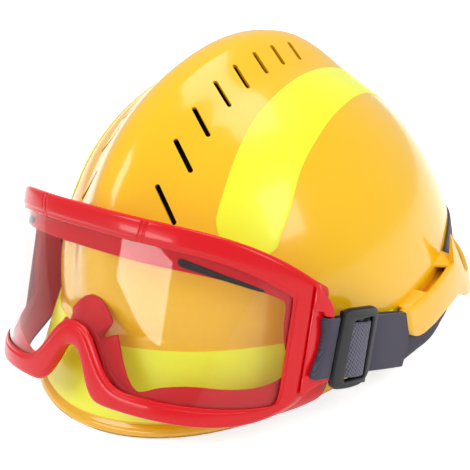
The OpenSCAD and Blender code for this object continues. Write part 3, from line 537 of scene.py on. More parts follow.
def make_shell():
    """Outer and inner skin, each closed at its pole and both joined at the lower edge."""
    az = np.arange(COLUMNS) * 360 / COLUMNS
    low_out, low_in = lower_rings(az, edge_z(az))
    el_out, el_in = OUT_EL[:, None], IN_EL[:, None]
    outer = np.concatenate([low_out, skin(az, el_out, -lip_bead(el_out, az))])
    inner = np.concatenate([low_in, skin(az, el_in, WALL)])
    verts, faces, starts = [], [], []
    for grid, t in ((outer, 0.0), (inner, WALL)):
        m, n = grid.shape[:2]
        starts.append(sum(map(len, verts)))
        last = starts[-1] + (m - 1) * n
        faces += grid_faces(m, n, wrap_n=True, base=starts[-1])
        faces += [(last + i, last + (i + 1) % n, last + n) for i in range(n)]
        verts += [grid.reshape(-1, 3), skin(0.0, 90.0, t).reshape(1, 3)]
    a, b = starts
    faces += [(a + i, a + (i + 1) % n, b + (i + 1) % n, b + i) for i in range(n)]
    points = row(np.concatenate(verts))
    points[:, 2] = np.maximum(points[:, 2], 0.0)
    shell = new_mesh("shell_skin", points, faces, GOLD)
    cutters = [slot_cutter(i, side) for i in range(SLOT_COUNT) for side in (-1, 1)]
    cut_away(shell, join(cutters, "vent_cutters"))
    place(finish_shade(shell, 38), "helmet", "outer_shell")


make_shell()


# reflective film: side offsets of its edges by the angle round the mid-plane
FILM_IN = ([46, 60, 80, 96, 113, 134, 150], [56.5, 54, 46.5, 41.2, 33, 24, 22])
FILM_OUT = ([46, 56, 64, 77, 90, 107, 126, 150], [82, 81.2, 80.4, 75.3, 70.4, 61.9, 48.7, 34])
FILM_FROM, FILM_SPAN, FILM_LIFT, FILM_TOP = 47.5, 100, 0.12, 0.5
# the brow film: degrees to both sides, and how high its lower and upper edges lie on the skin, in degrees
BROW_REACH, BROW_LOW, BROW_HIGH = 85, 2.9, 17.5


def smooth_interp(x, table):
    """Smooth cubic through a small table."""
    xs, ys = np.array(table[0], float), np.array(table[1], float)
    h, d = np.diff(xs), np.diff(ys) / np.diff(xs)
    m = np.concatenate([[d[0]], (d[:-1] + d[1:]) / 2, [d[-1]]])
    i = np.clip(np.searchsorted(xs, x) - 1, 0, len(h) - 1)
    t = (x - xs[i]) / h[i]
    t2, t3 = t * t, t * t * t
    return ((2 * t3 - 3 * t2 + 1) * ys[i] + (t3 - 2 * t2 + t) * h[i] * m[i] + (3 * t2 - 2 * t3) * ys[i + 1]
            + (t3 - t2) * h[i] * m[i + 1])


def film_sheet(name, surface, node):
    """A film over a grid of skin points, thinner at its rim."""
    n = normals(surface)
    n *= np.sign((n * (surface - [0, 0, 40.0])).sum(-1, keepdims=True))
    rim = np.ones(surface.shape[:2])
    rim[[0, -1], :] = 0.35
    rim[:, [0, -1]] = 0.35
    top = surface + n * (FILM_LIFT + (FILM_TOP - FILM_LIFT) * rim[..., None])
    sheet = plate(name, top, surface + n * FILM_LIFT * 0.4, LIME, sharp=60)
    place(sheet, "helmet", node)


def side_film(side, label):
    """The long film along one flank of the crest, with rounded corners."""
    u, v = np.linspace(0, 1, 141)[:, None], np.linspace(0, 1, 33)[None, :]
    c = np.abs(2 * v - 1) ** 5 * 5
    ps = FILM_FROM + c + (FILM_SPAN - 2 * c) * u
    x = smooth_interp(ps, FILM_IN) + (smooth_interp(ps, FILM_OUT) - smooth_interp(ps, FILM_IN)) * v
    film_sheet(f"film_{label}", crest_pt(ps, x) * [side, 1, 1], f"reflective_band_{label}")


def brow_film():
    """The film over the front lip."""
    az, up = np.linspace(-BROW_REACH, BROW_REACH, 171)[:, None], np.linspace(0, 1, 21)[None, :]
    top = BROW_HIGH - 6 * (np.abs(az) / 72) ** 2
    film_sheet("film_brow", skin(az, BROW_LOW + (top - BROW_LOW) * up), "brim_band")


for side, label in SIDES:
    side_film(side, label)
brow_film()


# goggles: outlines of the rim, the lens opening and the soft body's face opening
def gog_arc(x):
    return GOG_SWEEP * (np.abs(x) / GOG_W) ** 3.18


def out_top(x):
    return GOG_TOP * (1 - 0.417 * (np.abs(x) / GOG_W) ** 6.2)


def out_low(x):
    return GOG_LOW * (0.415 * (np.abs(x) / GOG_W) ** 10 - 1) + NOSE_H * np.exp(-(np.abs(x) / NOSE_W) ** 3)


def in_top(x):
    return GOG_TOP * (1 - 0.324 * (np.abs(x) / IN_W) ** 6.2) - RIM_W


def in_low(x):
    return (GOG_LOW * (0.122 * (np.abs(x) / IN_W) ** 8 - 1) + RIM_W * 0.81
            + NOSE_H * 1.1 * np.exp(-(np.abs(x) / NOSE_W / 1.65) ** 3))


def bag_top(x):
    return in_top(x) - RIM_W * 0.86 + 0.11 * GOG_TOP * (np.abs(x) / IN_W) ** 4


def bag_low(x):
    cheek = 0.2 * ramp((np.abs(x) - 3 * NOSE_W) / NOSE_W / 2.3)
    return (GOG_LOW * (cheek + 0.17 * (np.abs(x) / IN_W) ** 8 - 0.81)
            + NOSE_H * 1.6 * np.exp(-(np.abs(x) / NOSE_W / 1.76) ** 2.2))


# points along the top, each side and the bottom of an outline
TOP_N, SIDE_N, LOW_N = 230, 30, 210
# fine grooves across the rim's upper band: place and depth of each
GROOVES = (39.2, 0.6), (42.0, 0.6), (-38.4, 0.6), (-41.0, 0.25)
# their width, where each pair lies, and how far back they go
GROOVE_W, GROOVE_PAIRS, GROOVED_TO = 0.75, (-39.5, 40.6), 2.5
# the lens: where its edge lies between the rim's two outlines, its depth and thickness
LENS_SHARE, LENS_D, LENS_T = 0.8, 2.85, 1.5
# the black vents: where they start, their length, height and depth
VENT_X, VENT_L, VENT_Z, VENT_D = 58.0, 36.0, 31.8, 4.7
# the soft lower wall: depth and inset of its root, and its thickness at the root
LOW_ROOT_D, LOW_ROOT_IN, LOW_T = 5.3, 2.6, 1.5


def blur(values, reach):
    """Two rounds of periodic smoothing, which round the corners of a closed outline."""
    once = sum(np.roll(values, k, axis=0) for k in range(-reach, reach + 1)) / (2 * reach + 1)
    return sum(np.roll(once, k, axis=0) for k in range(-reach, reach + 1)) / (2 * reach + 1)


def crowd(t):
    """Stations from -1 to 1, moved closer together at the nose and at both ends."""
    return t - 0.09 * np.sin(2 * math.pi * t)


def outline(width, top, low, reach=3):
    """Closed outline in x and z: along the top, down one side, back along the bottom, up the other side."""
    s = np.linspace(0, 1, 4000)
    # stations lie closer together at the grooves
    dense = 1 + 14 * sum(bell(-np.cos(math.pi * s) * GOG_W - c, 2.6) for c in GROOVE_PAIRS)
    count = np.concatenate([[0], np.cumsum((dense[1:] + dense[:-1]) / 2)])
    t = np.interp(np.linspace(0, 1, TOP_N, endpoint=False), count / count[-1], s)
    x_top = -width * np.cos(math.pi * t)
    x_low = width * crowd(1 - 2 * np.linspace(0, 1, LOW_N, endpoint=False))
    down = np.linspace(0, 1, SIDE_N, endpoint=False)
    z_side = top(width) + (low(width) - top(width)) * down
    z_back = low(width) + (top(width) - low(width)) * down
    parts = (x_top, top(x_top)), (width, z_side), (x_low, low(x_low)), (-width, z_back)
    return blur(np.concatenate([xyz(x, z) for x, z in parts]), reach)


OUTER = outline(GOG_W, out_top, out_low)
LENS_EDGE = outline(IN_W, in_top, in_low)
SOFT_EDGE = outline(IN_W - 4, bag_top, bag_low, 4)


def gog_row(points):
    return row(goggle(points))


def on_arc(xz, depth):
    """Points in the goggle frame at a depth behind the lens curve."""
    return xyz(xz[..., 0], gog_arc(xz[..., 0]) + depth, xz[..., 1])


def ring_between(name, section, inner, material, sharp, groove=0):
    """A closed ring. Each point of its section has a share between the outer and the inner outline, a depth,
    and what the depth gains towards the sides and in the lower corners."""
    rings = []
    for share, depth, *gain in section:
        xz = OUTER + (inner - OUTER) * share
        out = np.abs(xz[:, 0]) / GOG_W
        sides, corners = (gain + [0, 0])[:2]
        depths = depth + sides * out ** 1.2 + corners * out ** 4 * ramp((14 - xz[:, 1]) / 16)
        rings.append(on_arc(xz, depths + (groove if depth < GROOVED_TO else 0)))
    return sweep(name, np.stack(rings, 1), material, loop=True, sharp=sharp, convert=gog_row)


def goggle_frame():
    """The glossy rim: outer wall, round front, step down to the lens and wall round the lens."""
    groove = sum(deep * bell(OUTER[:, 0] - at, GROOVE_W) for at, deep in GROOVES)
    groove *= np.arange(len(OUTER)) < TOP_N
    wall = [(0.02, RIM_D), (0.0, 5.2), (-0.02, 3.6), (-0.02, 2.2), (0.0, 1.3)]
    front = [(0.035, 0.7), (0.09, 0.35), (0.17, 0.16), (0.3, 0.04), (0.45, 0.0), (0.62, 0.04), (0.71, 0.1)]
    step = [(0.75, 0.18), (0.772, 0.5), (0.79, 0.86), (0.85, 1.0), (0.92, 1.1), (0.965, 1.25), (0.995, 1.7)]
    back = [(1.0, 2.3), (0.985, 2.6), (0.78, 2.66), (0.74, 3.2), (0.72, RIM_D)]
    ring = ring_between("goggle_rim", wall + front + step + back, LENS_EDGE, RED, 60, groove)
    place(ring, "goggles", "goggle_frame")


def goggle_lens():
    """The clear sheet, bent to the rim's arc."""
    u = crowd(np.linspace(-1, 1, 181))[:, None]
    x = (GOG_W + (IN_W - GOG_W) * LENS_SHARE) * u
    low = out_low(x) + (in_low(IN_W * u) - out_low(x)) * LENS_SHARE
    top = out_top(x) + (in_top(IN_W * u) - out_top(x)) * LENS_SHARE
    grid = xyz(x, gog_arc(x) + LENS_D, low + (top - low) * np.linspace(0, 1, 13))
    n = normals(grid)
    n *= np.sign(n[..., 1:2])
    lens = plate("lens_sheet", grid, grid + n * LENS_T, LENS, sharp=50, convert=gog_row)
    place(lens, "goggles", "goggle_lens")


def spline(points, steps):
    """Catmull-Rom curve through the points."""
    p = np.asarray(points, float)
    q = np.concatenate([[2 * p[0] - p[1]], p, [2 * p[-1] - p[-2]]])
    out = []
    for i in range(len(p) - 1):
        a, b, c, d = q[i:i + 4]
        for t in np.linspace(0, 1, steps, endpoint=False):
            out.append(0.5 * (2 * b + (c - a) * t + (2 * a - 5 * b + 4 * c - d) * t * t
                              + (3 * b - a - 3 * c + d) * t ** 3))
    out.append(p[-1])
    return np.array(out)


# inner edge of the soft lower wall on the wearer's left: x, z, depth, then x on the rim behind it
LOW_NOSE = [(0, 0.4, 13.5, 0), (4.2, -0.2, 13.6, 3), (8.6, -2.6, 13.8, 6), (12.6, -6.2, 14, 8.5),
            (16.0, -10.6, 14, 10.5), (14.6, -14.2, 14, 11.6), (11.7, -18.6, 14, 12.6)]
LOW_CHEEK = [(12.4, -20.2, 14, 13.6), (16.4, -18.6, 14, 15), (20.6, -16.8, 14, 17), (22.3, -18.9, 13.8, 18.6),
             (24.6, -22.6, 13.4, 20.4), (29, -30.4, 12.6, 24), (35, -38.2, 11.6, 30), (41.4, -42.2, 10.6, 39)]
LOW_SIDE = [(47.5, -40.8, 9.8, 47.5), (54, -37.6, 9.2, 54), (60.8, -35.2, 8.8, 60.8), (68, -33.3, 8.6, 68),
            (75, -32.3, 8.6, 75), (82, -31.9, 8.8, 82), (89, -30.8, 9.2, 89), (95.5, -28.4, 10, 96),
            (101, -23.5, 11, 101.5), (103.4, -16, 12, 104.4)]


def soft_inner():
    """Inner outline of the soft body: its face opening above, close to the lens opening below."""
    share = ramp((OUTER[:, 1] + 14) / 22)[:, None]
    return blur((OUTER + (LENS_EDGE - OUTER) * 1.02) * (1 - share) + SOFT_EDGE * share, 3)


def goggle_body():
    """The soft body: upper wall and ends as one ring, the lower wall as a plate curved in from the rim."""
    outer = [(0.1, 6.5), (0.09, 7.6), (0.2, 8.2, 9, 6), (0.27, 8.6, 13.4, 8), (0.31, 8.9, 14.4, 8)]
    face = [(0.37, 8.9, 14.6, 8), (0.43, 8.6, 14, 8), (0.46, 8.2, 12, 7), (0.5, 8.4), (0.8, 8.5)]
    inner = [(0.95, 8.35), (0.99, 8.0), (1.0, 7.6), (0.985, 7.2), (0.93, 6.9), (0.8, 6.5), (0.62, 5.6)]
    section = outer + face + inner + [(0.52, 4.9), (0.4, 6.2), (0.2, 6.4)]
    ring = ring_between("soft_skirt", section, soft_inner(), SOFT_RED, 70)
    curve = spline(LOW_NOSE + LOW_CHEEK + LOW_SIDE, 7)
    curve[:, 3] = np.maximum.accumulate(curve[:, 3])
    both = np.concatenate([(curve[::-1] * [-1, 1, 1, -1])[:-1], curve])
    root = xyz(both[:, 3], in_low(both[:, 3]) - LOW_ROOT_IN)
    front, back = [], []
    for g in (0, 0.12, 0.3, 0.5, 0.7, 0.86, 0.96, 1.0):
        xz = root + (both[:, :2] - root) * g
        depth = LOW_ROOT_D + (both[:, 2] - LOW_ROOT_D) * (1 - (1 - g) ** 1.7)
        front.append(on_arc(xz, depth))
        back.append(on_arc(xz, depth + LOW_T - 0.5 * g))
    low = plate("soft_low_wall", np.stack(front, 1), np.stack(back, 1), SOFT_RED, sharp=60, convert=gog_row)
    place(join([ring, low], "soft_body"), "goggles", "goggle_body")


def vent_screen(side, label):
    """The black vent slot in the soft body's upper wall: narrower outwards, with round ends."""
    u, v = np.linspace(0, 1, 49)[:, None], np.linspace(-1, 1, 9)[None, :]
    out = VENT_L * u
    ends = ((np.abs(u - 0.5) - 0.44) / 0.06).clip(0, 1)
    half = (2.2 - 1.3 * u) * np.sqrt(np.clip(1 - ends ** 2, 0.02, 1))
    z = VENT_Z - 0.165 * out - 0.0022 * out ** 2 + half * v
    front = xyz(side * (VENT_X + out), gog_arc(VENT_X + out) + VENT_D + 0.16 * (35 - z), z)
    screen = plate(f"vent_slot_{label}", front, front + [0, 0.8, 0], MESH_BLACK, convert=gog_row)
    place(screen, "goggles", f"vent_screen_{label}")


goggle_frame()
goggle_lens()
goggle_body()
for side, label in SIDES:
    vent_screen(side, label)


# shared builders
def cut_plate(loops, thickness, bevel, steps=3):
    """A flat plate with rounded edges; the first closed outline is the outer one, the rest are holes."""
    curve = bpy.data.curves.new("outline", "CURVE")
    curve.dimensions, curve.fill_mode = "2D", "BOTH"
    curve.extrude, curve.bevel_depth, curve.bevel_resolution = thickness / 2 - bevel, bevel, steps
    curve.offset = -bevel
    for k, loop in enumerate(loops):
        loop = np.asarray(loop, float)
        area = (loop[:, 0] * np.roll(loop[:, 1], -1) - loop[:, 1] * np.roll(loop[:, 0], -1)).sum()
        if (area > 0) == (k > 0):
            loop = loop[::-1]
        line = curve.splines.new("POLY")
        line.points.add(len(loop) - 1)
        for p, q in zip(line.points, loop):
            p.co = (q[0], q[1], 0, 1)
        line.use_cyclic_u = True
    obj = link("outline", curve)
    mesh = evaluated(obj)
    verts, faces = np.array([v.co for v in mesh.vertices]), [tuple(p.vertices) for p in mesh.polygons]
    bpy.data.objects.remove(obj)
    bpy.data.curves.remove(curve)
    bpy.data.meshes.remove(mesh)
    return verts, faces


def rounded(points, radius, steps=5):
    """A polygon with rounded corners; radius may be one number or one for each corner."""
    p = np.asarray(points, float)
    t = np.linspace(0, 1, steps)[:, None]
    corners = []
    before, after = np.roll(p, 1, axis=0), np.roll(p, -1, axis=0)
    for a, b, c, most in zip(before, p, after, np.broadcast_to(radius, len(p))):
        la, lc = np.linalg.norm(a - b), np.linalg.norm(c - b)
        size = min(most, 0.49 * la, 0.49 * lc)
        corners.append(b + (a - b) / la * size * (1 - t) ** 2 + (c - b) / lc * size * t * t)
    return np.concatenate(corners)


def rect(x0, x1, y0, y1, radius):
    return rounded([(x0, y0), (x1, y0), (x1, y1), (x0, y1)], radius)


def turned(name, profile, material, convert, steps=36):
    """A turned solid about its first axis: profile of (along, radius), closed by its end discs."""
    g = 2 * math.pi * np.arange(steps) / steps
    rings = [xyz(a, r * np.cos(g), r * np.sin(g)) for a, r in profile]
    return sweep(name, rings, material, sharp=35, convert=convert)


def block(name, corners, material, bevel):
    """A hexahedron with rounded edges: four bottom corners in order, then the four above them."""
    faces = [(3, 2, 1, 0), (4, 5, 6, 7), (0, 1, 5, 4), (1, 2, 6, 5), (2, 3, 7, 6), (3, 0, 4, 7)]
    obj = new_mesh(name, row(corners), faces, material)
    m = obj.modifiers.new("round", "BEVEL")
    m.width, m.segments, m.limit_method = bevel / 1000, 3, "NONE"
    apply_modifiers(obj)
    return finish_shade(obj, 50)


def band(name, centre, half_t, material, convert=row, relief=None):
    """Webbing: a grid of centre points, thickened along its normals, thinner at the long edges."""
    t = np.full(centre.shape[1], half_t)
    t[[0, -1]] *= 0.45
    t[[1, -2]] *= 0.86
    t = t[None, :, None] + (0 if relief is None else relief[..., None])
    n = normals(centre)
    return plate(name, centre + n * t, centre - n * t, material, sharp=70, convert=convert)


def wall_pt(az, z, off):
    """A point off mm outside the upright wall over the lip line, at height z in the lip frame."""
    p = skin(az, 0.0)
    d = skin(np.asarray(az, float) + 0.5, 0.0) - p
    length = np.hypot(d[..., 0], d[..., 1])
    return xyz(p[..., 0] + off * d[..., 1] / length, p[..., 1] - off * d[..., 0] / length, z)


def near_pt(az, z, off):
    """A point at height z, off mm outside the dome itself."""
    w = wall_pt(az, z, 0.0)
    d = wall_pt(az, z, 1.0) - w
    p = skin(az, np.degrees(np.arctan2(np.maximum(0, z - Z_BASE), np.hypot(w[..., 0], w[..., 1]))))
    return xyz(p[..., 0] + off * d[..., 0], p[..., 1] + off * d[..., 1], z)


def seat_row(points, side):
    """From the clip seat (x out, y along the strap, z up the goggles) to the row frame."""
    return gog_row((np.asarray(points, float) + [CLIP_X, CLIP_Y, CLIP_Z]) * [side, 1, 1])


def seat_plate(name, side, loops, thickness, bevel, out, material, sharp, steps=3):
    """A plate in the plane of the strap. out: its middle from the clip seat, or a formula of its points."""
    v, faces = cut_plate(loops, thickness, bevel, steps)
    x = v[:, 2] + (out(v) if callable(out) else out)
    return new_mesh(name, seat_row(xyz(x, v[:, 0], v[:, 1]), side), faces, material, sharp)


# strap clips and pins; the outlines are in the plane of the strap
LUG_SEAT, LUG_SLOPE, PIN_Y = 112.1, 0.3, -6.2
LUG_UP = [(-9.8, 20.9), (-9.8, 34.2), (-8.6, 33.4), (-4.3, 29.6), (-0.3, 26.9), (2.8, 22.6), (3.8, 18.6),
          (3.1, 17.5), (-1.4, 17.6), (-2.6, 18.9), (-3.4, 20.4)]
LUG_LOW = [(-9.8, -13.9), (6.6, -15.4), (9.0, -16.9), (3.0, -18.6), (-0.3, -19.8), (-5.0, -22.4),
           (-9.8, -26.0)]
LUG_FLOOR = [(-9.6, 33.4), (2.6, 22.0), (6.5, -16.2), (-9.6, -25.2)]


def strap_clip(side, label):
    """A clip's two horns with sloped faces, its floor and the bar that the strap folds round."""
    parts = []
    for loop, low, high, slope, r in ((LUG_UP, LUG_SEAT, 117.8, LUG_SLOPE, 1.5),
                                      (LUG_LOW, LUG_SEAT, 117.2, LUG_SLOPE, 1.6),
                                      (LUG_FLOOR, LUG_SEAT - 0.1, 113.3, 0.0, 1.0)):
        tall = high - low
        parts.append(seat_plate("lug", side, [rounded(loop, r)], tall, min(0.9, tall * 0.3), lambda v: (
            (low + high) / 2 - CLIP_X + slope * (v[:, 0] - 3) * (v[:, 2] + tall / 2) / tall), RED, 60))
    parts.append(seat_plate("lug_bar", side, [rect(3.3, 5.7, -16.5, 19.0, 1.0)], 2.6, 0.8, -0.2, RED, 60))
    place(join(parts, f"strap_lug_{label}", 60), "helmet", f"clip_{label}")


def clip_pin(side, label):
    profile = [(-4.4, 0.9), (-4.2, 1.7), (-3.9, 2.0), (-2.5, 2.0), (-2.2, 1.7), (-2.0, 0.9)]
    pin = turned(f"lug_pin_{label}", profile, STEEL, lambda p: seat_row(p + [0, PIN_Y, 0], side))
    place(pin, "goggles", f"pin_{label}")


# elastic strap
# the outer strap layer in plan, x and run along the strap: fold round the clip's bar, glide, then the rear
TAIL_FOLD = [(-2.4, 9.2), (-2.5, 5.0), (-2.0, 1.6), (-0.6, -0.1), (0.9, 0.1), (2.0, 1.7), (2.35, 4.2)]
TAIL_GLIDE = [(2.35, 7.6), (1.95, 11.0), (2.0, 14.6), (2.9, 18.0), (4.3, 21.4), (4.95, 25.6), (4.95, 30.0),
              (4.4, 34.0), (2.9, 37.2), (1.9, 40.4)]
TAIL_REAR = [(2.2, 44.0), (2.7, 50.0), (2.9, 58.0), (2.8, 67.0), (2.5, 76.6)]
# the tail is cut under the glide's rear bar: the part over the bars moves with the glide
TAIL_CUT, KNIT_STEP = 39.4, 1.5


def tail_grid(path):
    """Centre points of the tail, and the relief of the knit that the glide stretches open."""
    x, d = path[:, :1], path[:, 1:]
    s = np.linspace(0, 1, len(path))[:, None]
    outer = ramp((s - 0.1) / 0.1)
    in_window = ramp((d - 15) / 5) * ramp((40 - d) / 4) * outer
    top = 17.1 - 2.8 * in_window
    low = -15.9 - 0.6 * ramp((d - 50) / 25) + 1.2 * ramp((d - 39) / 6) - 0.3 * in_window
    z = low + (top - low) * np.linspace(0, 1, 97)[None, :]
    fold = np.interp(z, [-16.5, -11.5, -6, -0.7, 8.4, 17.2], [-5.0, -4.6, -2.2, -0.4, -0.2, -2.4])
    near_fold = ramp((9.5 - d) / 9.5)
    end = 2.4 * np.sin(math.pi * np.clip((19 - z) / 38, 0, 1)) * ramp((d - 66) / 10)
    y = d + fold * near_fold + end
    sag = -0.5 * np.cos(math.pi * (z - 0.5) / 17) * near_fold * outer
    turn = 2 * math.pi / KNIT_STEP
    knit = 0.11 * np.sin(turn * (y + z)) * np.sin(turn * (y - z)) * in_window
    return xyz(x + sag, y, z), knit


def seat_line(side, y0, y1):
    """Two points on the strap's line, in the row frame."""
    return seat_row([[0, y0, 0], [0, y1, 0]], side)


def strap_tail(side, label):
    path = spline(TAIL_FOLD + TAIL_GLIDE + TAIL_REAR, 7)
    centre, knit = tail_grid(path)
    cut, glide = int(np.argmax(path[:, 1] > TAIL_CUT)), f"glide_{label}"
    for word, rows, bodies, y0, y1 in (("front", slice(0, cut + 1), ("helmet", glide), 6, 14),
                                       ("rear", slice(cut, None), (glide, "helmet"), 42, 70)):
        tail = band(f"strap_tail_{label}_{word}", centre[rows], STRAP_T / 2, ELASTIC,
                    lambda p: seat_row(p, side), knit[rows])
        if word == "front":
            tail.data.materials.append(OPEN_KNIT)
            a, b = seat_line(side, 15, 38)
            for face in tail.data.polygons:
                face.material_index = int(0 < (np.array(face.center) - a) @ (b - a) / ((b - a) @ (b - a)) < 1)
        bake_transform(tail)
        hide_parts(f"strap_tail_{label}")


# inner strap layer: height of its middle by the angle round the helmet, and its offset from the shell
STRAP_MID = ([84, 88, 92, 96, 100, 104, 108, 114, 118, 122, 128, 135, 145, 155, 166, 180],
             [2.4, 1.2, -0.8, -2.6, -3.6, -3.2, -1.7, -1.1, 0.4, 3.4, 6.0, 5.4, 1.0, -5.0, -9.6, -12.4])
STRAP_OFF, STRAP_DIP = 4.0, 0.46


def goggle_strap():
    """The inner layer: straight along the goggle pitch, then round the rear of the shell."""
    d = np.linspace(3, 75.8, 60)
    x0, x1 = CLIP_X - 2.4, HALF_W + 1.5
    side_c = goggle(xyz(x0 + (x1 - x0) * ramp((d - 40) / 34), CLIP_Y + d, CLIP_Z))
    g = math.radians(GOG_PITCH)
    side_u = np.broadcast_to([0, math.sin(g), math.cos(g)], side_c.shape)
    az = np.linspace(95, 180, 110)
    z = smooth_interp(az, STRAP_MID)
    off = STRAP_OFF + 0.3 * ramp((100 - az) / 12) + 0.8 * ramp(1.4 - np.abs(az - 114) / 16)
    rear_c = wall_pt(az, z, off)
    e = wall_pt(az + 0.5, z, off) - wall_pt(az - 0.5, z, off)
    e /= np.linalg.norm(e, axis=-1, keepdims=True)
    twist = np.radians(GOG_PITCH * (1 - ramp((az - 84) / 16)) * 0.7)
    rise = np.gradient(z) / np.gradient(az) / 2.1
    lean = (twist - np.arctan(np.clip(rise, -0.5, 0.5)) * ramp((az - 104) / 8))[:, None]
    rear_u = UP * np.cos(lean) + e * np.sin(lean)
    # the upper edge dips where the guard's bridges hold the strap down
    dip = STRAP_DIP * ramp((az - 95) / 5) * ramp((119.5 - az) / 3)
    dip = np.concatenate([np.zeros(len(d)), dip])[:, None]

    def whole(half, flip):
        return np.concatenate([half, half[::-1][1:] * flip])[:, None]

    centre = whole(np.concatenate([side_c, rear_c]), [-1, 1, 1])
    across = whole(np.concatenate([side_u, rear_u]), [-1, 1, 1])
    up = np.linspace(-1, 1, 25)[None, :, None]
    up = np.where(up > 0, up * (1 - whole(dip, 1)), up)
    strap = band("strap_round_shell", centre + across * up * STRAP_W / 2, STRAP_T / 2, ELASTIC)
    place(strap, "helmet", "goggle_strap")


GLIDE_OUT = [(9.0, 21.0), (13.2, 22.6), (35.4, 23.3), (42.0, 20.2), (41.2, -15.6), (34.6, -20.9),
             (21.5, -22.2), (10.4, -21.9), (6.8, -18.6)]
GLIDE_R = [4.2, 3, 3.2, 4.4, 5, 5, 6, 3.6, 3.6]
GLIDE_HOLE = [(18.6, 15.4), (36.6, 17.3), (35.9, -16.6), (17.2, -17.9)]


def tri_glide(side, label):
    """The glide: a crowned frame with one window, the bar under the strap and a cheek at each end."""
    loops = [rounded(GLIDE_OUT, GLIDE_R, 7), rounded(GLIDE_HOLE, 1.1, 4)]
    parts = [seat_plate("glide_frame", side, loops, 3.4, 1.25, lambda v: 4.55 - 0.0035 * (v[:, 0] - 25) ** 2,
                        GLIDE, 55, 4),
             seat_plate("glide_bar", side, [rect(25.4, 30.0, -19.6, 19.6, 1.2)], 2.2, 0.8, 2.6, GLIDE, 55)]
    for z in (19.6, -19.4):
        cheek = [rect(9.5, 40.5, z - 1.5, z + 1.5, 1.0)]
        parts.append(seat_plate("glide_cheek", side, cheek, 3.2, 0.8, 2.6, GLIDE, 55))
    glide = join(parts, f"tri_glide_{label}_piece", 55)
    place(glide, f"glide_{label}", f"tri_glide_{label}")


for side, label in SIDES:
    strap_clip(side, label)
    clip_pin(side, label)
    strap_tail(side, label)
    tri_glide(side, label)
goggle_strap()


# rear guard: heights of its upper and lower edge by the angle round the helmet
GUARD_HI = ([85.4, 91.4, 97.8, 105.3, 114.7, 115.9, 116.15, 116.7, 118.7, 122.3, 126.7, 128.4, 131, 135, 142,
             160, 180],
            [18.6, 16.9, 16.0, 15.6, 15.0, 15.4, 33.6, 34.4, 25.2, 11.2, -5.2, -8.0, -13, -17.5, -21.5,
             -20, -24])
GUARD_LO = ([85.4, 86.6, 88.6, 90.5, 92.8, 99.1, 105.1, 110, 116.7, 121, 126.8, 131, 136, 150, 180],
            [4.6, 0.8, -2.4, -4.6, -5.9, -7.0, -7.1, -8.3, -10.2, -15, -24.5, -30, -36, -40, -46])
# bridges to the shell: angle and height of two points on the shell, then of two on the guard, and depth
BRIDGES = [((87.6, 18.6), (96.6, 19.8), (98.6, 16.4), (86.6, 18.2), 3.0),
           ((110.4, 20.2), (118.6, 20.6), (118.2, 17.6), (114.4, 15.4), 2.6),
           ((151.0, -30.2), (157.0, -30.2), (157.0, -30.2), (151.0, -30.2), 4.8)]
SHELF_Z, EYE_R, EYE_Z = 8.6, 3.0, -35.0


def guard_section(az):
    """Section of the guard's wall at one angle, on the wearer's left or mirrored."""
    if az > 180:
        return guard_section(360 - az) * [-1, 1, 1]
    hi, lo = np.interp(az, *GUARD_HI), np.interp(az, *GUARD_LO)
    out = GUARD_OFF + GUARD_T - 2.2 * ramp((86.9 - az) / 1.5)
    inner = GUARD_OFF - 2.4 * ramp((93 - az) / 6)
    fin = 2.6 * ramp((hi - 19) / 8)
    mid = min(17.0, hi - 2.0)
    pts = [(inner + 0.3, lo + 1.0), (inner + 1.0, lo + 0.1), (out - 1.4, lo + 0.4), (out - 0.4, lo + 1.2),
           (out, lo + 2.6), (out, (lo + hi) / 2), (out, hi - 1.5), (out - 0.25, hi - 0.5), (out - 0.8, hi),
           (inner + 0.6 + fin * 0.85, hi), (inner + fin, hi - 0.5), (inner + fin, mid + 1.2), (inner, mid),
           (inner, (lo + mid) / 2)]
    return np.array([wall_pt(az, z, o) for o, z in pts])


def guard_wall():
    """The guard's wall, with stops closer together where its edges bend, and the tether eye through it."""
    half = np.concatenate([[85.4, 85.6, 85.9, 86.3, 86.8], np.arange(87.4, 115.9, 0.9),
                           [115.9, 116.15, 116.4, 116.7, 117.2], np.arange(117.8, 136, 0.7),
                           np.arange(137, 180, 1.5)])
    stops = np.concatenate([half, [180.0], 360 - half[::-1]])
    wall = sweep("guard_wall", [guard_section(az) for az in stops], GUARD_GOLD, sharp=45)
    middle = [0, wall_pt(180.0, 0, 10.0)[1], EYE_Z]
    cut_away(wall, turned("eye_cutter", [(-30, EYE_R), (30, EYE_R)], None,
                          lambda p: row(p[:, [1, 0, 2]] + middle), 48))
    return wall


def guard_bridges(side):
    """The bridges to the shell on one side and the shelf under the strap."""
    parts = []
    for (a0, z0), (a1, z1), (b1, y1), (b0, y0), drop in BRIDGES:
        on_shell, on_guard = near_pt([a0, a1], np.array([z0, z1]), -1.2), wall_pt([b1, b0], [y1, y0], 10.2)
        top = np.concatenate([on_shell, on_guard])
        corners = np.concatenate([top - UP * drop, top]) * [side, 1, 1]
        parts.append(block("guard_rib", corners, GUARD_GOLD, 0.7))
    az = np.linspace(96.6, 119.6, 40)[:, None]
    inner, outer = near_pt(az, SHELF_Z, -0.6), wall_pt(az, SHELF_Z, 9.4)
    shelf = (inner + (outer - inner) * np.linspace(0, 1, 7)[None, :, None]) * [side, 1, 1]
    return parts + [plate("guard_shelf", shelf, shelf - UP, GUARD_GOLD)]


def rear_guard():
    guard = join([guard_wall()] + guard_bridges(1) + guard_bridges(-1), "rear_guard_piece", 45)
    place(guard, "helmet", "rear_guard")


rear_guard()


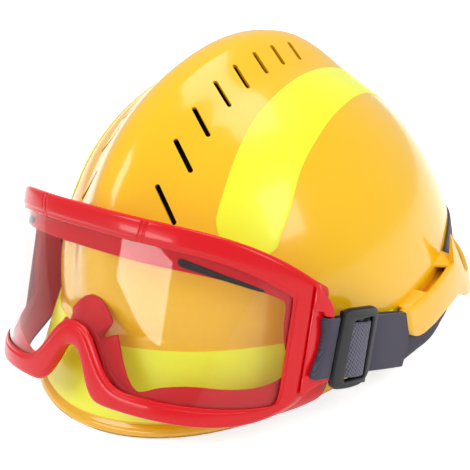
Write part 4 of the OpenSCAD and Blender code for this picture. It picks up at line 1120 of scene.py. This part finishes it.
# liner and cradle
SHELL_IN, LINER_T = WALL + 0.6, 18
CROWN_IN = SHELL_IN + LINER_T + 2.8
WEB_W, WEB_T, CHANNEL_D, CHANNEL_W = 22, 1.2, 1.8, 2.4
HEAD_Y, BAND_LOW, BAND_HIGH, BAND_T = 2, -2, 24, 1.8
HEAD_A, HEAD_B = HALF_W - 30, FRONT_LEN - 28.5
ANCHOR_W, ANCHOR_T, ANCHOR_H, ANCHOR_GAP = 26, 5, 14, 3.0
ANCHOR_SLOT_W, ANCHOR_SLOT_T = 22.8, 2.2
SIDE_X = HEAD_A + BAND_T + ANCHOR_GAP
FRONT_Y, REAR_Y = HEAD_Y - HEAD_B - BAND_T - ANCHOR_GAP, REAR_LEN - CROWN_IN - 2.2
RATCHET_Y, RATCHET_Z = REAR_LEN - 42.8, -5.0


def impact_liner():
    """Bead foam liner with shallow air channels on its inner face: nine spokes and a hoop."""
    az = np.arange(180) * 2.0
    rings = [skin(az, el, SHELL_IN + 0.5, 0.0) for el in np.linspace(88.6, 13.4, 34)]
    for el, t in ((12.9, 1.6), (12.6, 4.0), (12.6, 13.5), (12.9, 16.2)):
        rings.append(skin(az, el, SHELL_IN + t, 0.0))
    for el in np.linspace(13.6, 88.6, 52):
        spoke = bell((az + 20) % 40 - 20, CHANNEL_W / max(0.2, cosd(el)))
        spoke *= ramp((el - 16) / 5) * ramp((72 - el) / 5)
        channel = CHANNEL_D * np.maximum(spoke, bell(el - 74, 1.6))
        rings.append(skin(az, el, SHELL_IN + LINER_T - channel, 0.0))
    place(sweep("liner_shell", rings, BEAD_FOAM, sharp=60), "helmet", "impact_liner")


def strap_band(name, points, across, node):
    """Flat webbing along points, its width laid along the unit vector across."""
    line = spline(points, 6)[:, None, :]
    v = np.linspace(-1, 1, 17)[None, :, None]
    place(band(name, line + across * v * WEB_W / 2, WEB_T / 2, WEBBING), "helmet", node)


def crown_straps():
    ps = np.linspace(20, 160, 21)
    r = mid_r(ps, CROWN_IN + 0.6)
    arch = xyz(0, -r * cosd(ps), Z_BASE + r * sind(ps))
    run = np.concatenate([[(0, FRONT_Y, 9), (0, FRONT_Y, 18)], arch, [(0, REAR_Y, 25), (0, REAR_Y, 15)]])
    strap_band("crown_web_long", run, np.array([1.0, 0, 0]), "crown_strap_long")
    arch = skin(90.0, np.linspace(20, 88, 12), CROWN_IN + 2.8, 0.0) * [1, 0, 1]
    half = np.concatenate([[(SIDE_X, 0, 9), (SIDE_X, 0, 18)], arch])
    run = np.concatenate([half, half[::-1] * [-1, 1, 1]])
    strap_band("crown_web_cross", run, np.array([0, 1.0, 0]), "crown_strap_cross")


def anchors():
    """Strap anchors: slotted blocks with rounded edges."""
    loops = [rect(-w / 2, w / 2, -t / 2, t / 2, radius) for w, t, radius in
             ((ANCHOR_W, ANCHOR_T, 1.6), (ANCHOR_SLOT_W, ANCHOR_SLOT_T, 0.5))]
    v, faces = cut_plate(loops, ANCHOR_H, 0.6)
    for label, x, y, z, turn in (("front", 0, FRONT_Y, 13, 0), ("rear", 0, REAR_Y, 19, 0),
                                 ("left", SIDE_X, 0, 13, 90), ("right", -SIDE_X, 0, 13, 90)):
        c, s = cosd(turn), sind(turn)
        p = xyz(v[:, 0] * c - v[:, 1] * s + x, v[:, 0] * s + v[:, 1] * c + y, v[:, 2] + z)
        anchor = new_mesh(f"anchor_{label}_piece", row(p), faces, BLACK, sharp=50)
        place(anchor, "helmet", f"anchor_{label}")


def ring_path(a, b, reach, count):
    """Points and outward unit normals of an elliptic ring round the head, reach degrees to both sides."""
    g = np.linspace(-reach, reach, count)
    n = xyz(sind(g) * b, -cosd(g) * a, 0)
    return xyz(a * sind(g), HEAD_Y - b * cosd(g), 0), n / np.linalg.norm(n, axis=-1, keepdims=True)


def headband():
    """The plastic headband: thin, with a bead along both edges and a row of air slots."""
    p, n = ring_path(HEAD_A + BAND_T / 2, HEAD_B + BAND_T / 2, 136, 181)
    z = np.linspace(BAND_LOW, BAND_HIGH, 27)
    from_middle = np.abs(z - (BAND_LOW + BAND_HIGH) / 2)
    bead = BAND_T / 2 * np.where(from_middle > 11.3, 1.0, 0.72)
    bead[[0, -1]] *= 0.45
    slots = 0.34 * (from_middle < 5) * (np.cos(np.arange(181) * 2 * math.pi / 9) > 0.55)[:, None]
    grid = p[:, None, :] + UP * z[None, :, None]
    half = n[:, None, :] * (bead - slots)[..., None]
    band_piece = plate("headband_piece", grid + half, grid - half, BLACK, sharp=50)
    place(band_piece, "helmet", "headband")


# padded pieces
SWELL_FRAMES = 18


def swell(obj, cap, voxel, shape):
    """Cloth under pressure fills the pad, no point further than cap in metres; shape sews it down."""
    m = obj.modifiers.new("remesh", "REMESH")
    m.mode, m.voxel_size, m.use_smooth_shade = "VOXEL", voxel, True
    apply_modifiers(obj)
    start = np.array([v.co for v in obj.data.vertices])
    c = obj.modifiers.new("cloth", "CLOTH")
    c.settings.use_pressure, c.settings.uniform_pressure_force = True, 4.0
    c.settings.effector_weights.gravity = 0
    c.settings.mass, c.settings.quality = 0.15, 5
    c.point_cache.frame_start, c.point_cache.frame_end = 1, SWELL_FRAMES
    scene = bpy.context.scene
    for f in range(1, SWELL_FRAMES + 1):
        scene.frame_set(f)
    apply_modifiers(obj)
    scene.frame_set(1)
    moved = np.array([v.co for v in obj.data.vertices]) - start
    length = np.linalg.norm(moved, axis=1, keepdims=True) + 1e-12
    now = shape(start + moved * np.minimum(1, cap / length))
    obj.data.vertices.foreach_set("co", now.ravel())
    obj.data.update()
    fine = obj.modifiers.new("fine", "SUBSURF")
    fine.levels = fine.render_levels = 1
    apply_modifiers(obj)
    obj.data.materials.clear()
    obj.data.materials.append(PAD)
    return finish_shade(obj)


def pad_piece(obj, node):
    place(obj, "helmet", node)


def to_local(points):
    """Row frame in m to the lip frame in mm."""
    return rot_x(np.asarray(points, float) * 1000 - [0, SEAT_Y, LIFT], -STAND_PITCH, (0, 0, 0))


def crown_pad():
    """The round pad under the crown, sewn in a cross and bound at its edge."""
    z0 = float(skin(90.0, 79.0, CROWN_IN + 3.4, 0.0)[2]) - 6.15
    g = np.arange(72) * 5.0
    profile = [(0.5, 0.7), (12, 0.5), (24, 0.6), (30, 1.0), (31.6, 1.9), (31.2, 2.8), (28, 3.7), (22, 4.7),
               (12, 5.1), (0.5, 5.2)]
    pad = sweep("crown_pad_piece", [xyz(r * cosd(g), r * sind(g), z0 + z) for r, z in profile], PAD)

    def sewn(p):
        """Two sewn channels and a bound edge, kept between the straps and the head."""
        q = to_local(p)
        r = np.hypot(q[:, 0], q[:, 1])
        pull = np.maximum(bell(q[:, 0], 1.1), bell(q[:, 1], 1.1)) * ramp((30 - r) / 6)
        pull = np.maximum(pull, 0.8 * bell(r - 25, 1.0))
        middle = z0 + 2.7
        q[:, 2] = middle + (np.clip(q[:, 2], z0, z0 + 5.9) - middle) * (1 - 0.42 * pull)
        return row(q)

    pad_piece(swell(pad, 0.0016, 0.0016, sewn), "crown_pad")


def nape_pad():
    """The long pad in front of the ratchet, sewn down at two places."""
    y0 = RATCHET_Y - 5.4 - 4.0
    g = np.arange(96) * 3.75
    x = 24 * np.sign(cosd(g)) + 10.6 * cosd(g)
    x[np.abs(cosd(g)) < 0.02] = 0
    z = 10.6 * sind(g)
    profile = (0.05, 0.8), (0.8, 0.7), (0.96, 1.1), (1.0, 1.9), (0.97, 2.8), (0.85, 3.3), (0.05, 3.4)
    rings = [xyz(x * s, y0 + y, RATCHET_Z + z * (0.2 + 0.8 * s)) for s, y in profile]

    def sewn(p):
        q = to_local(p)
        pull = bell(np.abs(q[:, 0]) - 12, 0.9) * ramp((11.5 - np.abs(q[:, 2] - RATCHET_Z)) / 4)
        middle = y0 + 2.2
        q[:, 1] = middle + (np.clip(q[:, 1], y0 - 0.6, y0 + 3.95) - middle) * (1 - 0.4 * pull)
        return row(q)

    pad_piece(swell(sweep("nape_pad_piece", rings, PAD), 0.0014, 0.0014, sewn), "nape_pad")


def sweatband():
    """The brow pad: a long thin cushion inside the headband, sewn across every 16 degrees."""
    a, b = HEAD_A - 2.3, HEAD_B - 2.3
    points, out = ring_path(a, b, 79, 150)
    profile = [(-1.0, 2.4), (-1.35, 5.0), (-1.4, 11), (-1.35, 17), (-1.0, 19.6), (0.0, 20.6), (1.0, 19.6),
               (1.3, 17), (1.3, 11), (1.3, 5), (1.0, 2.4), (0.0, 1.4)]
    sections = [[p + n * off + UP * z for off, z in profile] for p, n in zip(points, out)]

    def sewn(points):
        q = to_local(points)
        x, y = q[:, 0] / a, (q[:, 1] - HEAD_Y) / b
        g, r = np.degrees(np.arctan2(x, -y)), np.hypot(x, y)
        pull = bell((g + 8) % 16 - 8, 0.55) * ramp((78 - np.abs(g)) / 3)
        size = np.clip((r - 1) * (1 - 0.45 * pull), -2.15 / a, 1.75 / a) + 1
        return row(xyz(x * a * size / r, HEAD_Y + y * b * size / r, np.clip(q[:, 2], -0.9, 22.9)))

    pad_piece(swell(sweep("sweatband_piece", sections, PAD), 0.0014, 0.0016, sewn), "sweatband")


def goggle_foam():
    """The face seal along the soft body's inner edge."""
    half = [(0.29, 8.0, 7.0, 5), (0.29, 8.6, 12.4, 8), (0.3, 9.1, 14.0, 8), (0.33, 9.4, 14.7, 8)]
    rest = [(0.38, 9.4, 14.7, 8), (0.41, 9.1, 14.0, 8), (0.42, 8.6, 12.4, 8), (0.42, 8.0, 7.0, 5)]
    ring = ring_between("face_seal_foam", half + rest, soft_inner(), FACE_FOAM, 80)
    place(ring, "goggles", "goggle_foam")


# chin strap, which turns about the rivets at CHIN_Y and CHIN_LO
CHIN_A, CHIN_B, CHIN_Y, CHIN_LO = HALF_W - 19, FRONT_LEN - 2.5, 10, -3.0
CHIN_W, CHIN_T, CHIN_RISE, CUP_REACH, CUP_Z, CUP_HALF = 16.0, 1.6, 14, 16, 11, 10


def chin_pt(g, off):
    return xyz((CHIN_A + off) * sind(g), CHIN_Y - (CHIN_B + off) * np.maximum(cosd(g), 0), 0)


def chin_strap(label, free, pivot):
    """Webbing round the front, from its free end to a round end on the pivot rivet."""
    g = np.linspace(free, pivot, 90)
    run = chin_pt(g, CHIN_T / 2) + UP * (CHIN_LO + CHIN_RISE * ramp(1 - np.abs(g) / 80))[:, None]
    y = np.linspace(0.6, 7.9, 14)
    end = xyz(math.copysign(CHIN_A + CHIN_T / 2, pivot), CHIN_Y + y, CHIN_LO)
    half = CHIN_W / 2 * np.concatenate([np.ones(len(g)), np.sqrt(1 - (y / 8.02) ** 2)])[:, None, None]
    grid = np.concatenate([run, end])[:, None] + UP * half * np.linspace(-1, 1, 15)[None, :, None]
    strap = band(f"chin_web_{label}", grid, CHIN_T / 2, WEBBING)
    place(strap, "chin", f"chin_strap_{label}")


def chin_cup():
    """A soft moulded cup behind the strap, with ribs and a bead round its edge."""
    g, v = np.linspace(-CUP_REACH, CUP_REACH, 61)[:, None], np.linspace(-1, 1, 25)[None, :]
    u = g / CUP_REACH
    z = CUP_Z + CUP_HALF * v * (1 - 0.16 * np.abs(u) ** 6)
    rib = 0.35 * (np.cos(g * 2 * math.pi / 5.3) > 0.3) * (np.abs(v) < 0.72)
    half = 1.2 - rib + 0.28 * np.maximum(np.abs(u) ** 16, np.abs(v) ** 16)
    half[:, [0, -1]] *= 0.5
    half[[0, -1], :] *= 0.5
    mid = chin_pt(g, -1.9)
    out = (chin_pt(g, -0.9) - mid) * half[..., None]
    grid = mid + UP * z[..., None]
    cup = plate("chin_cup_piece", grid + out, grid - out, SOFT_BLACK, sharp=60)
    place(cup, "chin", "chin_cup")


impact_liner()
crown_straps()
anchors()
headband()
crown_pad()
nape_pad()
sweatband()
goggle_foam()
chin_strap("left", 52, 90)
chin_strap("right", 38, -90)
chin_cup()
# CAD nodes that stay as they are and only take a material
for material_kept, nodes in ((BLACK, ("rack_left", "rack_right", "ratchet_housing", "buckle_socket")),
                             (CONTROL_RED, ("ratchet_knob", "buckle_button")),
                             (STEEL, ("rivet_left", "rivet_right", "guard_screw_left", "guard_screw_right"))):
    for node in nodes:
        for part in NODES[node].material_slots:
            part.material = material_kept


# camera, light and floor; the camera is measured from the photograph
PHOTO, FOCAL_PX, CENTRE_PX = 470, 1252.22, (242.72, 189.93)
CAM_AZ, CAM_EL, CAM_ROLL, CAM_DIST, CAM_AIM = 45.499, 26.484, -11.339, 772.41, 70.0


def camera():
    az, el, roll = (math.radians(a) for a in (CAM_AZ, CAM_EL, CAM_ROLL))
    back = np.array([math.sin(az) * math.cos(el), -math.cos(az) * math.cos(el), math.sin(el)])
    right = np.array([math.cos(az), math.sin(az), 0])
    up = np.cross(back, right)
    axes = (right * math.cos(roll) + up * math.sin(roll), up * math.cos(roll) - right * math.sin(roll), back)
    turn = np.eye(4)
    turn[:3, :3] = rot_x(axes, STAND_PITCH, (0, 0, 0)).T
    turn[:3, 3] = row(UP * CAM_AIM + back * CAM_DIST)
    data = bpy.data.cameras.new("camera")
    data.sensor_fit, data.sensor_width = "HORIZONTAL", 36.0
    data.lens = FOCAL_PX / PHOTO * data.sensor_width
    data.shift_x, data.shift_y = (PHOTO / 2 - CENTRE_PX[0]) / PHOTO, (CENTRE_PX[1] - PHOTO / 2) / PHOTO
    data.clip_start, data.clip_end = 0.05, 20
    cam = link("camera", data)
    cam.matrix_world = Matrix(turn)
    bpy.context.scene.camera = cam


def area_lamp(name, place_at, aim, size, power):
    data = bpy.data.lights.new(name, "AREA")
    data.shape, data.size, data.size_y = "RECTANGLE", size[0], size[1]
    data.energy = power
    lamp = link(name, data)
    lamp.location = place_at
    lamp.rotation_euler = (Vector(aim) - Vector(place_at)).to_track_quat("-Z", "Y").to_euler()
    return lamp


def white_world():
    """White where the camera looks, straight or through the lens, and a little dimmer as light."""
    bpy.context.scene.world = bpy.data.worlds.new("studio")
    n = Nodes(bpy.context.scene.world)
    n.shader(Color=(1, 1, 1, 1), Strength=n.maps(n.seen_by("Camera", "Transmission"), 0.0, 1.0, 0.62, 1.0))


def floor():
    """A white floor that glows a little for every ray that shows it."""
    mesh = bpy.data.meshes.new("floor")
    mesh.from_pydata([(-4, -4, 0), (4, -4, 0), (4, 4, 0), (-4, 4, 0)], [], [(0, 1, 2, 3)])
    sheet = link("floor", mesh)
    sheet.location.z = -0.0005
    n = material("floor_white")
    glow = n.times(n.seen_by("Camera", "Glossy", "Transmission"), 0.75)
    mesh.materials.append(n.shader(Base_Color=(0.8, 0.8, 0.8, 1), Roughness=0.9, Emission_Color=(1, 1, 1, 1),
                                   Emission_Strength=glow))


def studio():
    white_world()
    area_lamp("key", (-0.9, -1.5, 1.5), (0, 0, 0.1), (0.9, 0.9), 14)
    area_lamp("right_box", (1.7, -0.2, 1.1), (0, 0, 0.1), (0.7, 0.9), 9)
    area_lamp("top", (0.1, 0.4, 1.9), (0, 0, 0.1), (1.1, 0.8), 10)
    window = area_lamp("window", (-0.5, -1.93, 0.34), (0.04, -0.15, 0.1), (1.4, 0.18), 8)
    window.visible_diffuse = False
    floor()


camera()
studio()
bpy.context.scene.view_settings.view_transform = "Standard"
